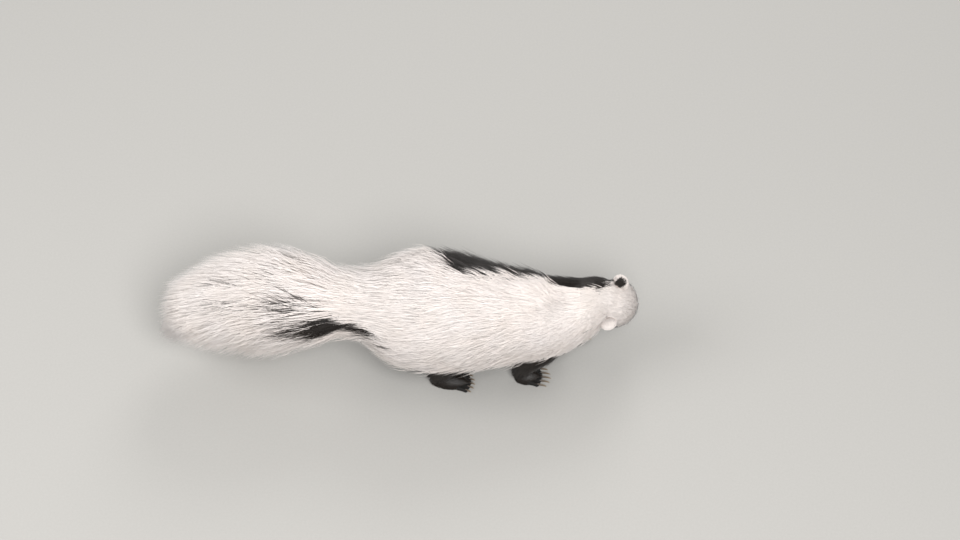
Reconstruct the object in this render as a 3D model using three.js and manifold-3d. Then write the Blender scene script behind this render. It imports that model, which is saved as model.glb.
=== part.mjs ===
// A striped skunk at life size, standing on its four flat soles with the tail held out behind.
// Millimetres. +X runs towards the nose, +Y is the animal's left side and +Z is up, with the soles on z = 0.
import * as THREE from "three";
import { mergeVertices } from "three/addons/utils/BufferGeometryUtils.js";
import Module from "manifold-3d";

const wasm = await Module();
wasm.setup();
const { Manifold, Mesh } = wasm;

// Where the middle of the whole box falls, so that the origin can sit under it.
const MIDDLE = { x: -2.2, y: 2.6 };
// Clearance between two pieces that meet face to face.
const GAP = 0.3;

// The trunk at the skin, station by station from the tail's root to the back of the skull:
// the centre line's y and z, half the width, half the height, and how far the back rolls to the right.
const TRUNK = [
  { at: -48, y: 4, z: 122, wide: 20, high: 20, roll: 0 },
  { at: -30, y: 3, z: 120, wide: 33, high: 33, roll: 0 },
  { at: 0, y: 1, z: 116, wide: 51, high: 50, roll: 0 },
  { at: 45, y: 0, z: 113, wide: 62, high: 60, roll: 0 },
  { at: 100, y: 0, z: 110, wide: 58, high: 57, roll: 0 },
  { at: 160, y: 1, z: 105, wide: 49, high: 52, roll: 3 },
  { at: 212, y: 4, z: 102, wide: 42, high: 46, roll: 9 },
  { at: 243, y: 9, z: 111, wide: 36, high: 40, roll: 18 },
  { at: 264, y: 14, z: 117, wide: 31, high: 36, roll: 23 },
  { at: 284, y: 19, z: 122, wide: 23, high: 26, roll: 27 },
];
const TRUNK_REAR = -46;
const TRUNK_FRONT = 280;
// Its rings are evenly spaced. The torso takes them up to one just past the neck's root, and the neck starts before it.
const TRUNK_STATIONS = 15;
const TRUNK_SIDES = 22;
const TORSO_END = 14;
const NECK_START = 12;
const NECK_ROOT = 234;
// How deep the coat stands over the skin along the trunk, and the share of it that the solid core takes.
const COAT = [
  { at: -100, deep: 26 },
  { at: -40, deep: 28 },
  { at: 45, deep: 30 },
  { at: 120, deep: 26 },
  { at: 180, deep: 20 },
  { at: 230, deep: 15 },
  { at: 262, deep: 10 },
  { at: 282, deep: 4 },
];
const CORE_SHARE = 0.35;
const BELLY_COAT = 0.45;

// The tail: its bone's line, the radius of the dense core, and the radius out to the tips of the hair.
// "at" runs backwards from the root.
const TAIL = [
  { at: 0, x: -46, y: 4, z: 122, core: 21, out: 40 },
  { at: 50, x: -96, y: 7, z: 126, core: 26, out: 54 },
  { at: 100, x: -146, y: 10, z: 127, core: 34, out: 76 },
  { at: 150, x: -196, y: 13, z: 123, core: 34, out: 83 },
  { at: 200, x: -245, y: 12, z: 113, core: 24, out: 74 },
  { at: 250, x: -292, y: 9, z: 98, core: 8, out: 56 },
  { at: 300, x: -336, y: 2, z: 76, core: 4, out: 26 },
];
const TAIL_CORE_END = 225;
const TAIL_TIP = 302;
// The plume ends sooner on its upper far side, by up to twice this, round from that turn in degrees.
const TAIL_TRIM = 13;
const TRIM_TURN = 55;

// The head: where the line between the ears crosses its middle, and how it is held.
const HEAD = { x: 291, y: 16, z: 116, forward: [0.5, 0.35, -0.79], left: [0.32, 0.8, 0.5] };
// Its outline in its own frame: distance forwards of the ears, half width, height of crown and of jaw.
const SKULL = [
  { at: -27, wide: 5, top: 7, low: -7 },
  { at: -23, wide: 16, top: 16.5, low: -14.5 },
  { at: -13, wide: 27, top: 25, low: -22 },
  { at: 0, wide: 33, top: 30, low: -26 },
  { at: 12, wide: 34, top: 31.5, low: -27 },
  { at: 23, wide: 30.5, top: 30, low: -26 },
  { at: 32, wide: 24, top: 24.5, low: -23.5 },
  { at: 40, wide: 18, top: 17, low: -21 },
  { at: 48, wide: 14, top: 10.5, low: -19 },
  { at: 56, wide: 12, top: 7.5, low: -17 },
  { at: 64, wide: 10.5, top: 5.5, low: -14.5 },
  { at: 68, wide: 8.5, top: 4, low: -12 },
];
const SKULL_STATIONS = 12;
const SKULL_SIDES = 18;
const EYE = { at: 35, turn: 60, radius: 4.4, sunk: 4.2, lid: 1.6 };
const EAR = { at: -12, turn: 70, wide: 10.5, tall: 11, deep: 6.2, wall: 2.5, sunk: 7.8 };
const NOSE = { at: 68.5, up: -1, long: 4.8, wide: 7, high: 5.4, nostril: 1.7, apart: 3.3 };
const MOUTH = { front: 67, corner: 39, up: -9.5, drop: 0.05, gap: 0.9, deep: 2.2, chin: 61 };

// The legs, each a line from inside the trunk down to the wrist or heel, with its radius along the leg.
const WRIST = 15;
const LEGS = {
  foreleg_right: { foot: "fore", turn: -5,
    line: [[208, -22, 94, 27], [196, -30, 68, 20], [178, -32, 42, 13.5], [168, -31, WRIST - 3, 11]] },
  foreleg_left: { foot: "fore", turn: 8,
    line: [[214, 28, 92, 27], [208, 38, 66, 20], [216, 40, 40, 13.5], [230, 39, WRIST - 3, 11]] },
  hindleg_right: { foot: "hind", turn: -7,
    line: [[60, -27, 98, 34], [74, -35, 68, 24], [66, -38, 39, 14.5], [52, -38, WRIST - 3, 11.5]] },
  hindleg_left: { foot: "hind", turn: 9,
    line: [[32, 31, 98, 34], [40, 41, 68, 24], [20, 45, 39, 14.5], [-2, 45, WRIST - 3, 11.5]] },
};
// The feet: sole length behind and ahead of the ankle, width, height, toe size and claw length.
const FEET = {
  fore: { back: 9, front: 24, wide: 13, high: 16, toe: 4.1, reach: 13, claw: 15 },
  hind: { back: 10, front: 42, wide: 12.5, high: 16, toe: 4, reach: 12, claw: 8 },
};
const TOES = 5;

// The coat's locks: how long and wide they are, how far apart their rows start, and how far each may stray.
const TRUNK_LOCK = { long: 65, wide: 18, ridge: 0.23, row: 37, side: 35, sunk: 3 };
const NECK_LOCK = { long: 40, wide: 14, ridge: 0.24, row: 24, side: 28, sunk: 2.5 };
const TAIL_LOCK = { long: 88, wide: 18, ridge: 0.21, row: 28, count: 8, sunk: 5 };
const STRAY = 0.14;
const LOCK_STATIONS = [0, 0.28, 0.55, 0.8, 1];

const COLOURS = { white: 0xe9e4dc, black: 0x15130f, skin: 0x2a2420, eye: 0x120d0a };

const v = (x, y, z) => new THREE.Vector3(x, y, z);
const radians = THREE.MathUtils.degToRad;

// A small repeatable random draw from -1 to 1.
let seed = 20417;
function stray() {
  seed = (seed * 1103515245 + 12345) % 2147483648;
  return (seed / 1073741824 - 1);
}

// The value of one column of a table at a given place, on a smooth curve through its rows.
function along(table, key, at) {
  const last = table.length - 1;
  let i = 0;
  while (i < last - 1 && at > table[i + 1].at) i += 1;
  const slope = (j) => {
    const [a, b] = [table[Math.max(j - 1, 0)], table[Math.min(j + 1, last)]];
    return (b[key] - a[key]) / (b.at - a.at);
  };
  const [p, q] = [table[i], table[i + 1]];
  const span = q.at - p.at;
  const t = (at - p.at) / span;
  if (t < 0) return p[key] + slope(0) * (at - p.at);
  if (t > 1) return q[key] + slope(last) * (at - q.at);
  return (
    p[key] * (2 * t ** 3 - 3 * t ** 2 + 1) +
    slope(i) * span * (t ** 3 - 2 * t ** 2 + t) +
    q[key] * (3 * t ** 2 - 2 * t ** 3) +
    slope(i + 1) * span * (t ** 3 - t ** 2)
  );
}

// A closed mesh as a solid, and a solid back as a mesh's geometry.
function solidOf(geometry) {
  const bare = geometry.clone();
  bare.deleteAttribute("normal");
  bare.deleteAttribute("uv");
  const merged = mergeVertices(bare, 1e-4);
  return new Manifold(
    new Mesh({
      numProp: 3,
      vertProperties: merged.attributes.position.array,
      triVerts: new Uint32Array(merged.index.array),
    }),
  );
}

function geometryOf(solid) {
  const mesh = solid.getMesh();
  const points = new Float32Array(mesh.numVert * 3);
  for (let i = 0; i < mesh.numVert; i += 1)
    points.set(mesh.vertProperties.subarray(i * mesh.numProp, i * mesh.numProp + 3), i * 3);
  const geometry = new THREE.BufferGeometry();
  geometry.setAttribute("position", new THREE.BufferAttribute(points, 3));
  geometry.setIndex(new THREE.BufferAttribute(new Uint32Array(mesh.triVerts), 1));
  geometry.computeVertexNormals();
  return geometry;
}

const join = (solids) => solids.reduce((whole, next) => whole.add(next));
const largest = (solid) => solid.decompose().sort((a, b) => b.volume() - a.volume())[0];

// A closed skin over rings of points, with a flat lid at each end. A ring of one point closes to a tip.
function loft(rings) {
  const points = [];
  const faces = [];
  const starts = rings.map((ring) => {
    const start = points.length / 3;
    ring.forEach((p) => points.push(p.x, p.y, p.z));
    return start;
  });
  for (let i = 0; i < rings.length - 1; i += 1) {
    const sides = Math.max(rings[i].length, rings[i + 1].length);
    for (let k = 0; k < sides; k += 1) {
      const next = (k + 1) % sides;
      const [a, b] = [starts[i] + (rings[i].length > 1 ? k : 0), starts[i] + (rings[i].length > 1 ? next : 0)];
      const [c, d] = [
        starts[i + 1] + (rings[i + 1].length > 1 ? k : 0),
        starts[i + 1] + (rings[i + 1].length > 1 ? next : 0),
      ];
      if (a !== b) faces.push(a, b, d);
      if (c !== d) faces.push(a, d, c);
    }
  }
  const lid = (start, count, flip) => {
    for (let k = 1; k < count - 1; k += 1)
      faces.push(start, start + (flip ? k + 1 : k), start + (flip ? k : k + 1));
  };
  lid(starts[0], rings[0].length, true);
  lid(starts[rings.length - 1], rings[rings.length - 1].length, false);
  const geometry = new THREE.BufferGeometry();
  geometry.setAttribute("position", new THREE.BufferAttribute(new Float32Array(points), 3));
  geometry.setIndex(faces);
  const made = solidOf(geometry);
  if (made.volume() > 0) return made;
  for (let i = 0; i < faces.length; i += 3) [faces[i], faces[i + 1]] = [faces[i + 1], faces[i]];
  geometry.setIndex(faces);
  return solidOf(geometry);
}

// Rings of a round limb along a line of [x, y, z, radius] rows, from one end to the other.
function limb(line, grow, steps, sides) {
  const curve = new THREE.CatmullRomCurve3(line.map(([x, y, z]) => v(x, y, z)));
  const radii = line.map((row, i) => ({ at: i / (line.length - 1), radius: row[3] }));
  const rings = [];
  for (let i = 0; i <= steps; i += 1) {
    const t = i / steps;
    const centre = curve.getPoint(t);
    const forward = curve.getTangent(t);
    const side = v(0, 1, 0).cross(forward).normalize();
    const other = forward.clone().cross(side).normalize();
    const radius = along(radii, "radius", t) + grow;
    if (i === 0) centre.addScaledVector(forward, -grow);
    if (i === steps) centre.addScaledVector(forward, grow);
    rings.push(
      Array.from({ length: sides }, (_, k) => {
        const turn = (k / sides) * 2 * Math.PI;
        return centre
          .clone()
          .addScaledVector(side, Math.cos(turn) * radius * 1.12)
          .addScaledVector(other, Math.sin(turn) * radius * 0.9);
      }),
    );
  }
  return rings;
}

// A ball or egg with chosen half sizes, placed by a matrix.
function egg(half, matrix, around = 14, down = 9) {
  const geometry = new THREE.SphereGeometry(1, around, down);
  geometry.scale(half.x, half.y, half.z);
  geometry.applyMatrix4(matrix);
  return solidOf(geometry);
}

// A block between two corners.
function block(low, high) {
  const size = high.clone().sub(low);
  const geometry = new THREE.BoxGeometry(size.x, size.y, size.z);
  const middle = low.clone().add(high).multiplyScalar(0.5);
  geometry.translate(middle.x, middle.y, middle.z);
  return solidOf(geometry);
}

// The trunk's own axes at a place along it: forwards, to the left and up, rolled with the back.
function trunkFrame(at) {
  const centre = v(at, along(TRUNK, "y", at), along(TRUNK, "z", at));
  const ahead = v(at + 1, along(TRUNK, "y", at + 1), along(TRUNK, "z", at + 1));
  const forward = ahead.sub(centre).normalize();
  const left = v(0, 1, 0).addScaledVector(forward, -forward.y).normalize();
  const up = forward.clone().cross(left);
  const roll = radians(along(TRUNK, "roll", at));
  return {
    centre,
    forward,
    left: left.clone().multiplyScalar(Math.cos(roll)).addScaledVector(up, Math.sin(roll)),
    up: up.clone().multiplyScalar(Math.cos(roll)).addScaledVector(left, -Math.sin(roll)),
  };
}

// A point over the trunk's skin: turn is measured from the middle of the back towards the left side.
function trunkPoint(at, turn, height) {
  const frame = trunkFrame(at);
  const reach = Math.max(at, TRUNK_REAR);
  const wide = along(TRUNK, "wide", reach);
  const high = along(TRUNK, "high", reach);
  const [s, c] = [Math.sin(turn), Math.cos(turn)];
  const normal = frame.left.clone().multiplyScalar(s / wide).addScaledVector(frame.up, c / high).normalize();
  const point = frame.centre
    .clone()
    .addScaledVector(frame.left, s * wide)
    .addScaledVector(frame.up, c * high)
    .addScaledVector(normal, height);
  return { point, normal };
}

const bellyShare = (turn) => {
  const down = Math.abs(Math.atan2(Math.sin(turn), Math.cos(turn))) / Math.PI;
  return 1 - (1 - BELLY_COAT) * THREE.MathUtils.smoothstep(down, 0.55, 0.9);
};
const coatDepth = (at, turn) => along(COAT, "deep", at) * bellyShare(turn);

function trunkRing(at, sides, offset) {
  return Array.from({ length: sides }, (_, k) => {
    const turn = (k / sides) * 2 * Math.PI;
    return trunkPoint(at, turn, offset(at, turn)).point;
  });
}

// The trunk's core between two of its evenly spaced stations, so that every piece of it shares the same rings.
function trunkCore(first, last, grow) {
  const offset = (at, turn) => coatDepth(at, turn) * CORE_SHARE + grow;
  const rings = [];
  for (let i = first; i <= last; i += 1) {
    const at = TRUNK_REAR + ((TRUNK_FRONT - TRUNK_REAR) * i) / TRUNK_STATIONS;
    rings.push(trunkRing(at, TRUNK_SIDES, offset));
  }
  return loft(rings);
}

// The tail's axes and a point round its bone at a distance from it.
function tailPoint(at, turn, radius) {
  const centre = v(along(TAIL, "x", at), along(TAIL, "y", at), along(TAIL, "z", at));
  const next = v(along(TAIL, "x", at + 1), along(TAIL, "y", at + 1), along(TAIL, "z", at + 1));
  const back = next.sub(centre).normalize();
  const left = v(0, 1, 0).addScaledVector(back, -back.y).normalize();
  const up = left.clone().cross(back);
  const normal = left.multiplyScalar(Math.sin(turn)).addScaledVector(up, Math.cos(turn));
  return { point: centre.addScaledVector(normal, radius), normal };
}

function tailRing(at, sides, radius) {
  return Array.from({ length: sides }, (_, k) => tailPoint(at, (k / sides) * 2 * Math.PI, radius).point);
}

// One flat lock: a ridge over a flat underside, wide at its middle and drawn out to a point.
function lock(place, wide, ridge) {
  const stations = LOCK_STATIONS.map((t) => place(t));
  const rings = stations.map(({ point, normal }, i) => {
    const t = LOCK_STATIONS[i];
    if (t === 1) return [point];
    const [a, b] = [stations[Math.max(i - 1, 0)].point, stations[Math.min(i + 1, stations.length - 1)].point];
    const lie = b.clone().sub(a).normalize();
    const side = lie.clone().cross(normal).normalize();
    const half = wide * (0.62 + 0.38 * Math.sin(Math.PI * Math.min(t * 1.4, 1))) * Math.sqrt(1 - t * 0.86);
    return [
      point.clone().addScaledVector(side, -half),
      point.clone().addScaledVector(side, half),
      point.clone().addScaledVector(normal, ridge * wide * (1 - 0.45 * t)),
    ];
  });
  return loft(rings);
}

// How a lock leaves the core and then lies down: 0 at its root, 1 at its tip.
const rise = (t) => 1 - (1 - t) ** 1.7;

// The locks of one stretch of the trunk, in staggered rows from front to back.
function trunkLocks(from, to, kind, clear) {
  const locks = [];
  let row = 0;
  for (let at = from; at > to; at -= kind.row / 2) {
    const around = Math.PI * (along(TRUNK, "wide", at) + along(TRUNK, "high", at) + 10);
    const count = Math.max(5, Math.round(around / kind.side / 2));
    for (let k = 0; k < count; k += 1) {
      const turn = ((k + (row % 2) * 0.5) / count + stray() * 0.02) * 2 * Math.PI;
      const share = bellyShare(turn);
      const long = kind.long * (1 + stray() * STRAY) * (0.55 + 0.45 * share);
      const depth = coatDepth(at, turn);
      const root = depth * CORE_SHARE - kind.sunk;
      const tip = depth * (1 + stray() * STRAY);
      const drift = stray() * 0.12 + 0.1 * Math.sin(turn);
      const place = (t) => trunkPoint(at - long * t, turn + drift * t, root + (tip - root) * rise(t));
      if (clear(trunkPoint(at, turn, depth * CORE_SHARE).point)) locks.push(lock(place, kind.wide, kind.ridge));
    }
    row += 1;
  }
  return locks;
}

// The region that belongs to the piece behind a joint of the coat: a cup that opens backwards with the hair's lie.
function neckCup(grow) {
  const [root, mouth, past, end] = [NECK_ROOT, 198, 192, -420];
  const ring = (at, extra) => trunkRing(Math.max(at, TRUNK_REAR), 28, (place, turn) =>
    coatDepth(place, turn) * CORE_SHARE + extra);
  const far = ring(past, 160).map((p) => v(end, p.y, p.z));
  return loft([ring(root + grow, 1 + grow), ring(mouth, 12 + grow), ring(past, 160), far]);
}

function tailCup(grow) {
  return loft([
    tailRing(-grow, 24, 24 + grow),
    tailRing(48, 24, 44 + grow),
    tailRing(56, 24, 190),
    tailRing(56, 24, 190).map((p) => v(p.x - 400, p.y, p.z)),
  ]);
}

// The head's frame: forwards along the muzzle, to the left, and up through the crown.
const headForward = v(...HEAD.forward).normalize();
const headUp = headForward.clone().cross(v(...HEAD.left)).normalize();
const headMatrix = new THREE.Matrix4()
  .makeBasis(headForward, headUp.clone().cross(headForward), headUp)
  .setPosition(HEAD.x, HEAD.y, HEAD.z);

function skullPoint(at, turn, grow) {
  const [wide, top, low] = ["wide", "top", "low"].map((key) => along(SKULL, key, at));
  const middle = (top + low) / 2;
  const high = (top - low) / 2;
  return v(at, Math.sin(turn) * (wide + grow), middle + Math.cos(turn) * (high + grow));
}

// The whole head as one loft. Both ends move out with the growth and the rings between them stay put.
function skullLoft(grow) {
  const [rear, front] = [SKULL[0].at, SKULL[SKULL.length - 1].at];
  const rings = [];
  for (let i = 0; i <= SKULL_STATIONS; i += 1) {
    const end = i === 0 ? -1 : i === SKULL_STATIONS ? 1 : 0;
    const at = rear + ((front - rear) * i) / SKULL_STATIONS;
    const ring = Array.from({ length: SKULL_SIDES }, (_, k) =>
      skullPoint(at, (k / SKULL_SIDES) * 2 * Math.PI, grow));
    rings.push(ring.map((p) => p.setX(at + end * grow).applyMatrix4(headMatrix)));
  }
  return loft(rings);
}

// A place on the head's skin in the head's own frame, with the direction that faces out there.
function onSkull(at, turn) {
  const point = skullPoint(at, turn, 0);
  const a = skullPoint(at + 1, turn, 0).sub(skullPoint(at - 1, turn, 0));
  const b = skullPoint(at, turn + 0.02, 0).sub(skullPoint(at, turn - 0.02, 0));
  return { point, normal: a.cross(b).normalize() };
}

const inHead = (matrix) => headMatrix.clone().multiply(matrix);

// Axes at a point, with +Z along the given direction and +X towards the muzzle.
function facing(point, direction, ahead = v(1, 0, 0)) {
  const z = direction.clone().normalize();
  const y = z.clone().cross(ahead).normalize();
  const x = y.clone().cross(z);
  return new THREE.Matrix4().makeBasis(x, y, z).setPosition(point);
}

function eyeCentre(side) {
  const { point, normal } = onSkull(EYE.at, side * radians(EYE.turn));
  return { centre: point.addScaledVector(normal, -EYE.sunk), normal };
}

function eyeBall(side, grow) {
  const { centre, normal } = eyeCentre(side);
  const r = EYE.radius + grow;
  return egg(v(r, r, r), inHead(facing(centre, normal)), 10, 7);
}

// The rim of the two lids, an almond ring that stands a little proud of the skin.
function eyeLids(side) {
  const { centre, normal } = eyeCentre(side);
  const geometry = new THREE.TorusGeometry(EYE.radius + 0.4, EYE.lid, 4, 12);
  geometry.scale(1.12, 0.88, 1);
  geometry.translate(0, 0, EYE.sunk - 0.6);
  geometry.applyMatrix4(inHead(facing(centre, normal)));
  return solidOf(geometry);
}

function noseSolid(grow) {
  const centre = v(NOSE.at, 0, NOSE.up);
  const half = v(NOSE.long + grow, NOSE.wide + grow, NOSE.high + grow);
  return egg(half, inHead(new THREE.Matrix4().makeTranslation(centre.x, centre.y, centre.z)), 12, 7);
}

function makeNose() {
  let nose = noseSolid(0);
  for (const side of [-1, 1]) {
    const nostril = v(NOSE.at + NOSE.long - 0.8, side * NOSE.apart, NOSE.up - 0.8);
    const hole = v(2.4, NOSE.nostril, NOSE.nostril * 0.85);
    nose = nose.subtract(egg(hole, inHead(new THREE.Matrix4().makeTranslation(nostril.x, nostril.y, nostril.z)), 7, 5));
  }
  return largest(nose);
}

// The line of the mouth: a thin plate round the muzzle that bites only as deep as the lips.
function mouthCut() {
  const plan = new THREE.Shape();
  const half = (at) => along(SKULL, "wide", at);
  const steps = 6;
  const edge = (inset, sign) =>
    Array.from({ length: steps + 1 }, (_, i) => {
      const at = MOUTH.corner + ((MOUTH.front - MOUTH.corner) * i) / steps;
      return new THREE.Vector2(at, sign * (half(at) - inset));
    });
  const outer = [...edge(-6, -1), ...edge(-6, 1).reverse()];
  outer.splice(steps + 1, 0, new THREE.Vector2(MOUTH.front + 9, -half(MOUTH.front)),
    new THREE.Vector2(MOUTH.front + 9, half(MOUTH.front)));
  plan.setFromPoints(outer);
  const inner = [...edge(MOUTH.deep, -1), ...edge(MOUTH.deep, 1).reverse()];
  inner[0].x = inner[inner.length - 1].x = MOUTH.corner - 4;
  inner.forEach((p) => {
    p.x -= MOUTH.deep;
  });
  const plate = new THREE.ExtrudeGeometry(plan, { depth: MOUTH.gap, bevelEnabled: false });
  const heart = new THREE.ExtrudeGeometry(new THREE.Shape(inner), { depth: MOUTH.gap * 3, bevelEnabled: false });
  heart.translate(0, 0, -MOUTH.gap);
  const place = inHead(new THREE.Matrix4().makeTranslation(0, 0, MOUTH.up)
    .multiply(new THREE.Matrix4().makeRotationY(MOUTH.drop)));
  plate.applyMatrix4(place);
  heart.applyMatrix4(place);
  return solidOf(plate).subtract(solidOf(heart));
}

// What is cut away ahead of the chin, so that the lower jaw is the shorter one.
function chinCut() {
  const geometry = new THREE.BoxGeometry(20, 40, 20);
  geometry.translate(MOUTH.chin + 10, 0, MOUTH.up - 10);
  geometry.applyMatrix4(headMatrix);
  return solidOf(geometry);
}

function makeHead() {
  let head = skullLoft(0).add(eyeLids(-1)).add(eyeLids(1));
  head = head.subtract(mouthCut()).subtract(chinCut()).subtract(noseSolid(GAP));
  for (const side of [-1, 1]) head = head.subtract(eyeBall(side, GAP));
  return largest(head);
}

// Where an ear stands on the head, with +Y up its height and +Z out of its opening.
function earPlace(side) {
  const { point } = onSkull(EAR.at, side * radians(EAR.turn));
  const upright = v(-0.3, side * 0.72, 0.62).normalize();
  const outward = v(0.8, side * 0.6, 0);
  const open = outward.addScaledVector(upright, -upright.dot(outward)).normalize();
  const across = upright.clone().cross(open);
  const centre = point.clone().addScaledVector(upright, EAR.tall - EAR.sunk);
  return new THREE.Matrix4().makeBasis(across, upright, open).setPosition(centre);
}

const earHull = (side, grow) =>
  egg(v(EAR.wide + grow, EAR.tall + grow, EAR.deep + grow), inHead(earPlace(side)), 12, 7);

// One round ear: a shallow cup that opens forwards and outwards, cut where it meets the head.
function makeEar(side) {
  const place = earPlace(side);
  const cup = v(EAR.wide - EAR.wall * 0.8, EAR.tall - EAR.wall * 0.8, EAR.deep);
  const shift = new THREE.Matrix4().makeTranslation(0, -0.5, EAR.wall + 1.2);
  const hollow = egg(cup, inHead(place.clone().multiply(shift)), 12, 7);
  const front = new THREE.BoxGeometry(60, 60, 20).translate(0, 0, 10 + EAR.deep * 0.35);
  front.applyMatrix4(inHead(place));
  return largest(earHull(side, 0).subtract(hollow).subtract(solidOf(front)).subtract(skullLoft(GAP)));
}

// A foot in its own frame, ankle over the origin and toes towards +X, ready to be set on the floor.
function footSolid(kind) {
  const size = FEET[kind];
  const middle = (size.front - size.back) / 2;
  const half = (size.front + size.back) / 2;
  const parts = [egg(v(half, size.wide, size.high * 0.75),
    new THREE.Matrix4().makeTranslation(middle, 0, size.high * 0.22), 11, 6)];
  const stub = limb([[0, 0, 3, 11.5], [0, 0, WRIST + 4, 11]], -0.6, 1, 10);
  parts.push(loft(stub));
  for (let i = 0; i < TOES; i += 1) {
    const spread = i / (TOES - 1) - 0.5;
    const start = v(size.front - size.reach, spread * size.wide * 1.6, 4.4);
    const bend = size.reach * (1.3 - 1.1 * spread * spread);
    const end = v(start.x + bend, spread * size.wide * 2, 3.4);
    const tip = end.x + size.toe * 0.75;
    const toe = [
      [start.x, start.y, start.z, size.toe],
      [(start.x + end.x) / 2, (start.y + end.y) / 2, 4.6, size.toe],
      [end.x, end.y, end.z, size.toe * 0.95],
      [tip, end.y * 1.02, end.z, size.toe * 0.45],
    ];
    parts.push(loft(limb(toe, 0, 3, 4)));
    const drawn = size.claw * (1 - 0.5 * spread * spread);
    const claw = [0, 0.5, 1].map((t) =>
      [end.x + drawn * Math.sin(t * 1.35), end.y * (1 + 0.05 * t), 4.8 - 3.8 * t * t, 1.9 * (1 - t) + 0.35]);
    parts.push(loft(limb(claw, 0, 2, 4)));
  }
  const floor = block(v(-60, -40, 0), v(90, 40, WRIST));
  return join(parts).intersect(floor);
}

function placeFoot(leg) {
  const [x, y] = leg.line[leg.line.length - 1];
  return new THREE.Matrix4().makeTranslation(x, y, 0)
    .multiply(new THREE.Matrix4().makeRotationZ(radians(leg.turn)));
}

function makeFoot(leg) {
  const geometry = geometryOf(footSolid(leg.foot));
  geometry.applyMatrix4(placeFoot(leg));
  return largest(solidOf(geometry));
}

function legLoft(leg, grow) {
  return loft(limb(leg.line, grow, 7, 11));
}

// The trunk's core out to the neck's end, grown by the gap, for whatever grows from it to be cut by.
const grownTrunk = trunkCore(0, TRUNK_STATIONS, GAP);

function makeLeg(leg) {
  const above = block(v(-200, -200, WRIST + GAP), v(400, 200, 300));
  return largest(legLoft(leg, 0).subtract(grownTrunk).intersect(above));
}

const grownLegs = join(Object.values(LEGS).map((leg) => legLoft(leg, GAP)));

// Whether a point lies well outside every leg, so that a lock can be rooted there.
function clearOfLegs(point) {
  return Object.values(LEGS).every((leg) => {
    const curve = new THREE.CatmullRomCurve3(leg.line.map(([x, y, z]) => v(x, y, z)));
    const radii = leg.line.map((row, i) => ({ at: i / (leg.line.length - 1), radius: row[3] }));
    return Array.from({ length: 13 }, (_, i) => i / 12).every(
      (t) => curve.getPoint(t).distanceTo(point) > along(radii, "radius", t) - 1,
    );
  });
}

function makeTorso() {
  const core = trunkCore(0, TORSO_END, 0);
  const locks = join(trunkLocks(NECK_ROOT - 11, TRUNK_REAR + 4, TRUNK_LOCK, clearOfLegs)).subtract(grownLegs);
  return largest(core.add(locks).subtract(tailCup(GAP)).intersect(neckCup(-GAP / 2)));
}

function makeNeck() {
  const core = trunkCore(NECK_START, TRUNK_STATIONS, 0);
  const locks = join(trunkLocks(NECK_ROOT + 32, NECK_ROOT + 1, NECK_LOCK, clearOfLegs)).subtract(grownLegs);
  return largest(core.add(locks).subtract(neckCup(GAP / 2)).subtract(skullLoft(GAP))
    .subtract(earHull(-1, GAP * 2)).subtract(earHull(1, GAP * 2)));
}

function tailLocks() {
  const locks = [];
  let row = 0;
  for (let at = 6; at < TAIL_CORE_END; at += TAIL_LOCK.row) {
    const last = at + TAIL_LOCK.row >= TAIL_CORE_END;
    const count = TAIL_LOCK.count;
    for (let k = 0; k < count; k += 1) {
      const turn = ((k + (row % 2) * 0.5) / count + stray() * 0.025) * 2 * Math.PI;
      const droop = last ? 1.1 - 0.12 * Math.cos(turn) : 1;
      const end = TAIL_TIP - TAIL_TRIM * (1 + Math.cos(turn - radians(TRIM_TURN)));
      const long = Math.min(TAIL_LOCK.long * (1 + stray() * STRAY) * droop, end - at);
      const fullest = along(TAIL, "out", at + long) * (last ? 0.6 + 0.3 * stray() : 1);
      const root = along(TAIL, "core", at) - TAIL_LOCK.sunk;
      const tip = fullest * (0.96 + stray() * 0.06);
      const place = (t) => tailPoint(at + long * t, turn, root + (tip - root) * rise(t));
      locks.push(lock(place, TAIL_LOCK.wide, TAIL_LOCK.ridge));
    }
    row += 1;
  }
  return locks;
}

function makeTail() {
  const rings = [];
  const steps = 14;
  for (let i = 0; i <= steps; i += 1) {
    const at = -1 + ((TAIL_CORE_END + 1) * i) / steps;
    rings.push(tailRing(at, 18, along(TAIL, "core", at)));
  }
  return largest(loft(rings).add(join(tailLocks())).intersect(tailCup(-GAP / 2)));
}

const skunk = new THREE.Group();

function addNode(name, solid, colour, roughness) {
  const material = new THREE.MeshStandardMaterial({ color: colour, roughness, metalness: 0 });
  const mesh = new THREE.Mesh(geometryOf(solid), material);
  mesh.name = name;
  skunk.add(mesh);
}

addNode("torso", makeTorso(), COLOURS.white, 0.9);
addNode("neck", makeNeck(), COLOURS.white, 0.9);
addNode("tail", makeTail(), COLOURS.white, 0.9);
addNode("head", makeHead(), COLOURS.black, 0.9);
addNode("nose", makeNose(), COLOURS.skin, 0.45);
for (const [name, side] of [["left", 1], ["right", -1]]) {
  addNode(`ear_${name}`, makeEar(side), COLOURS.black, 0.9);
  addNode(`eye_${name}`, eyeBall(side, 0), COLOURS.eye, 0.15);
}
for (const [name, leg] of Object.entries(LEGS)) {
  addNode(name, makeLeg(leg), COLOURS.black, 0.9);
  addNode(name.replace("leg", "foot"), makeFoot(leg), COLOURS.black, 0.8);
}

skunk.position.set(-MIDDLE.x, -MIDDLE.y, 0);

export default skunk;
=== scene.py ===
"""A striped skunk at life size: one skin, its coat of guard hair, eyes, nose and claws, on a pale floor.

Lengths in the tables are millimetres, with x towards the nose, y to the animal's left and z up.
Turns go round the body from the middle of the back towards the left side.
"""

import math

import bmesh
import bpy
import numpy as np
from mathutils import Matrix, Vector
from mathutils.bvhtree import BVHTree


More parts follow.
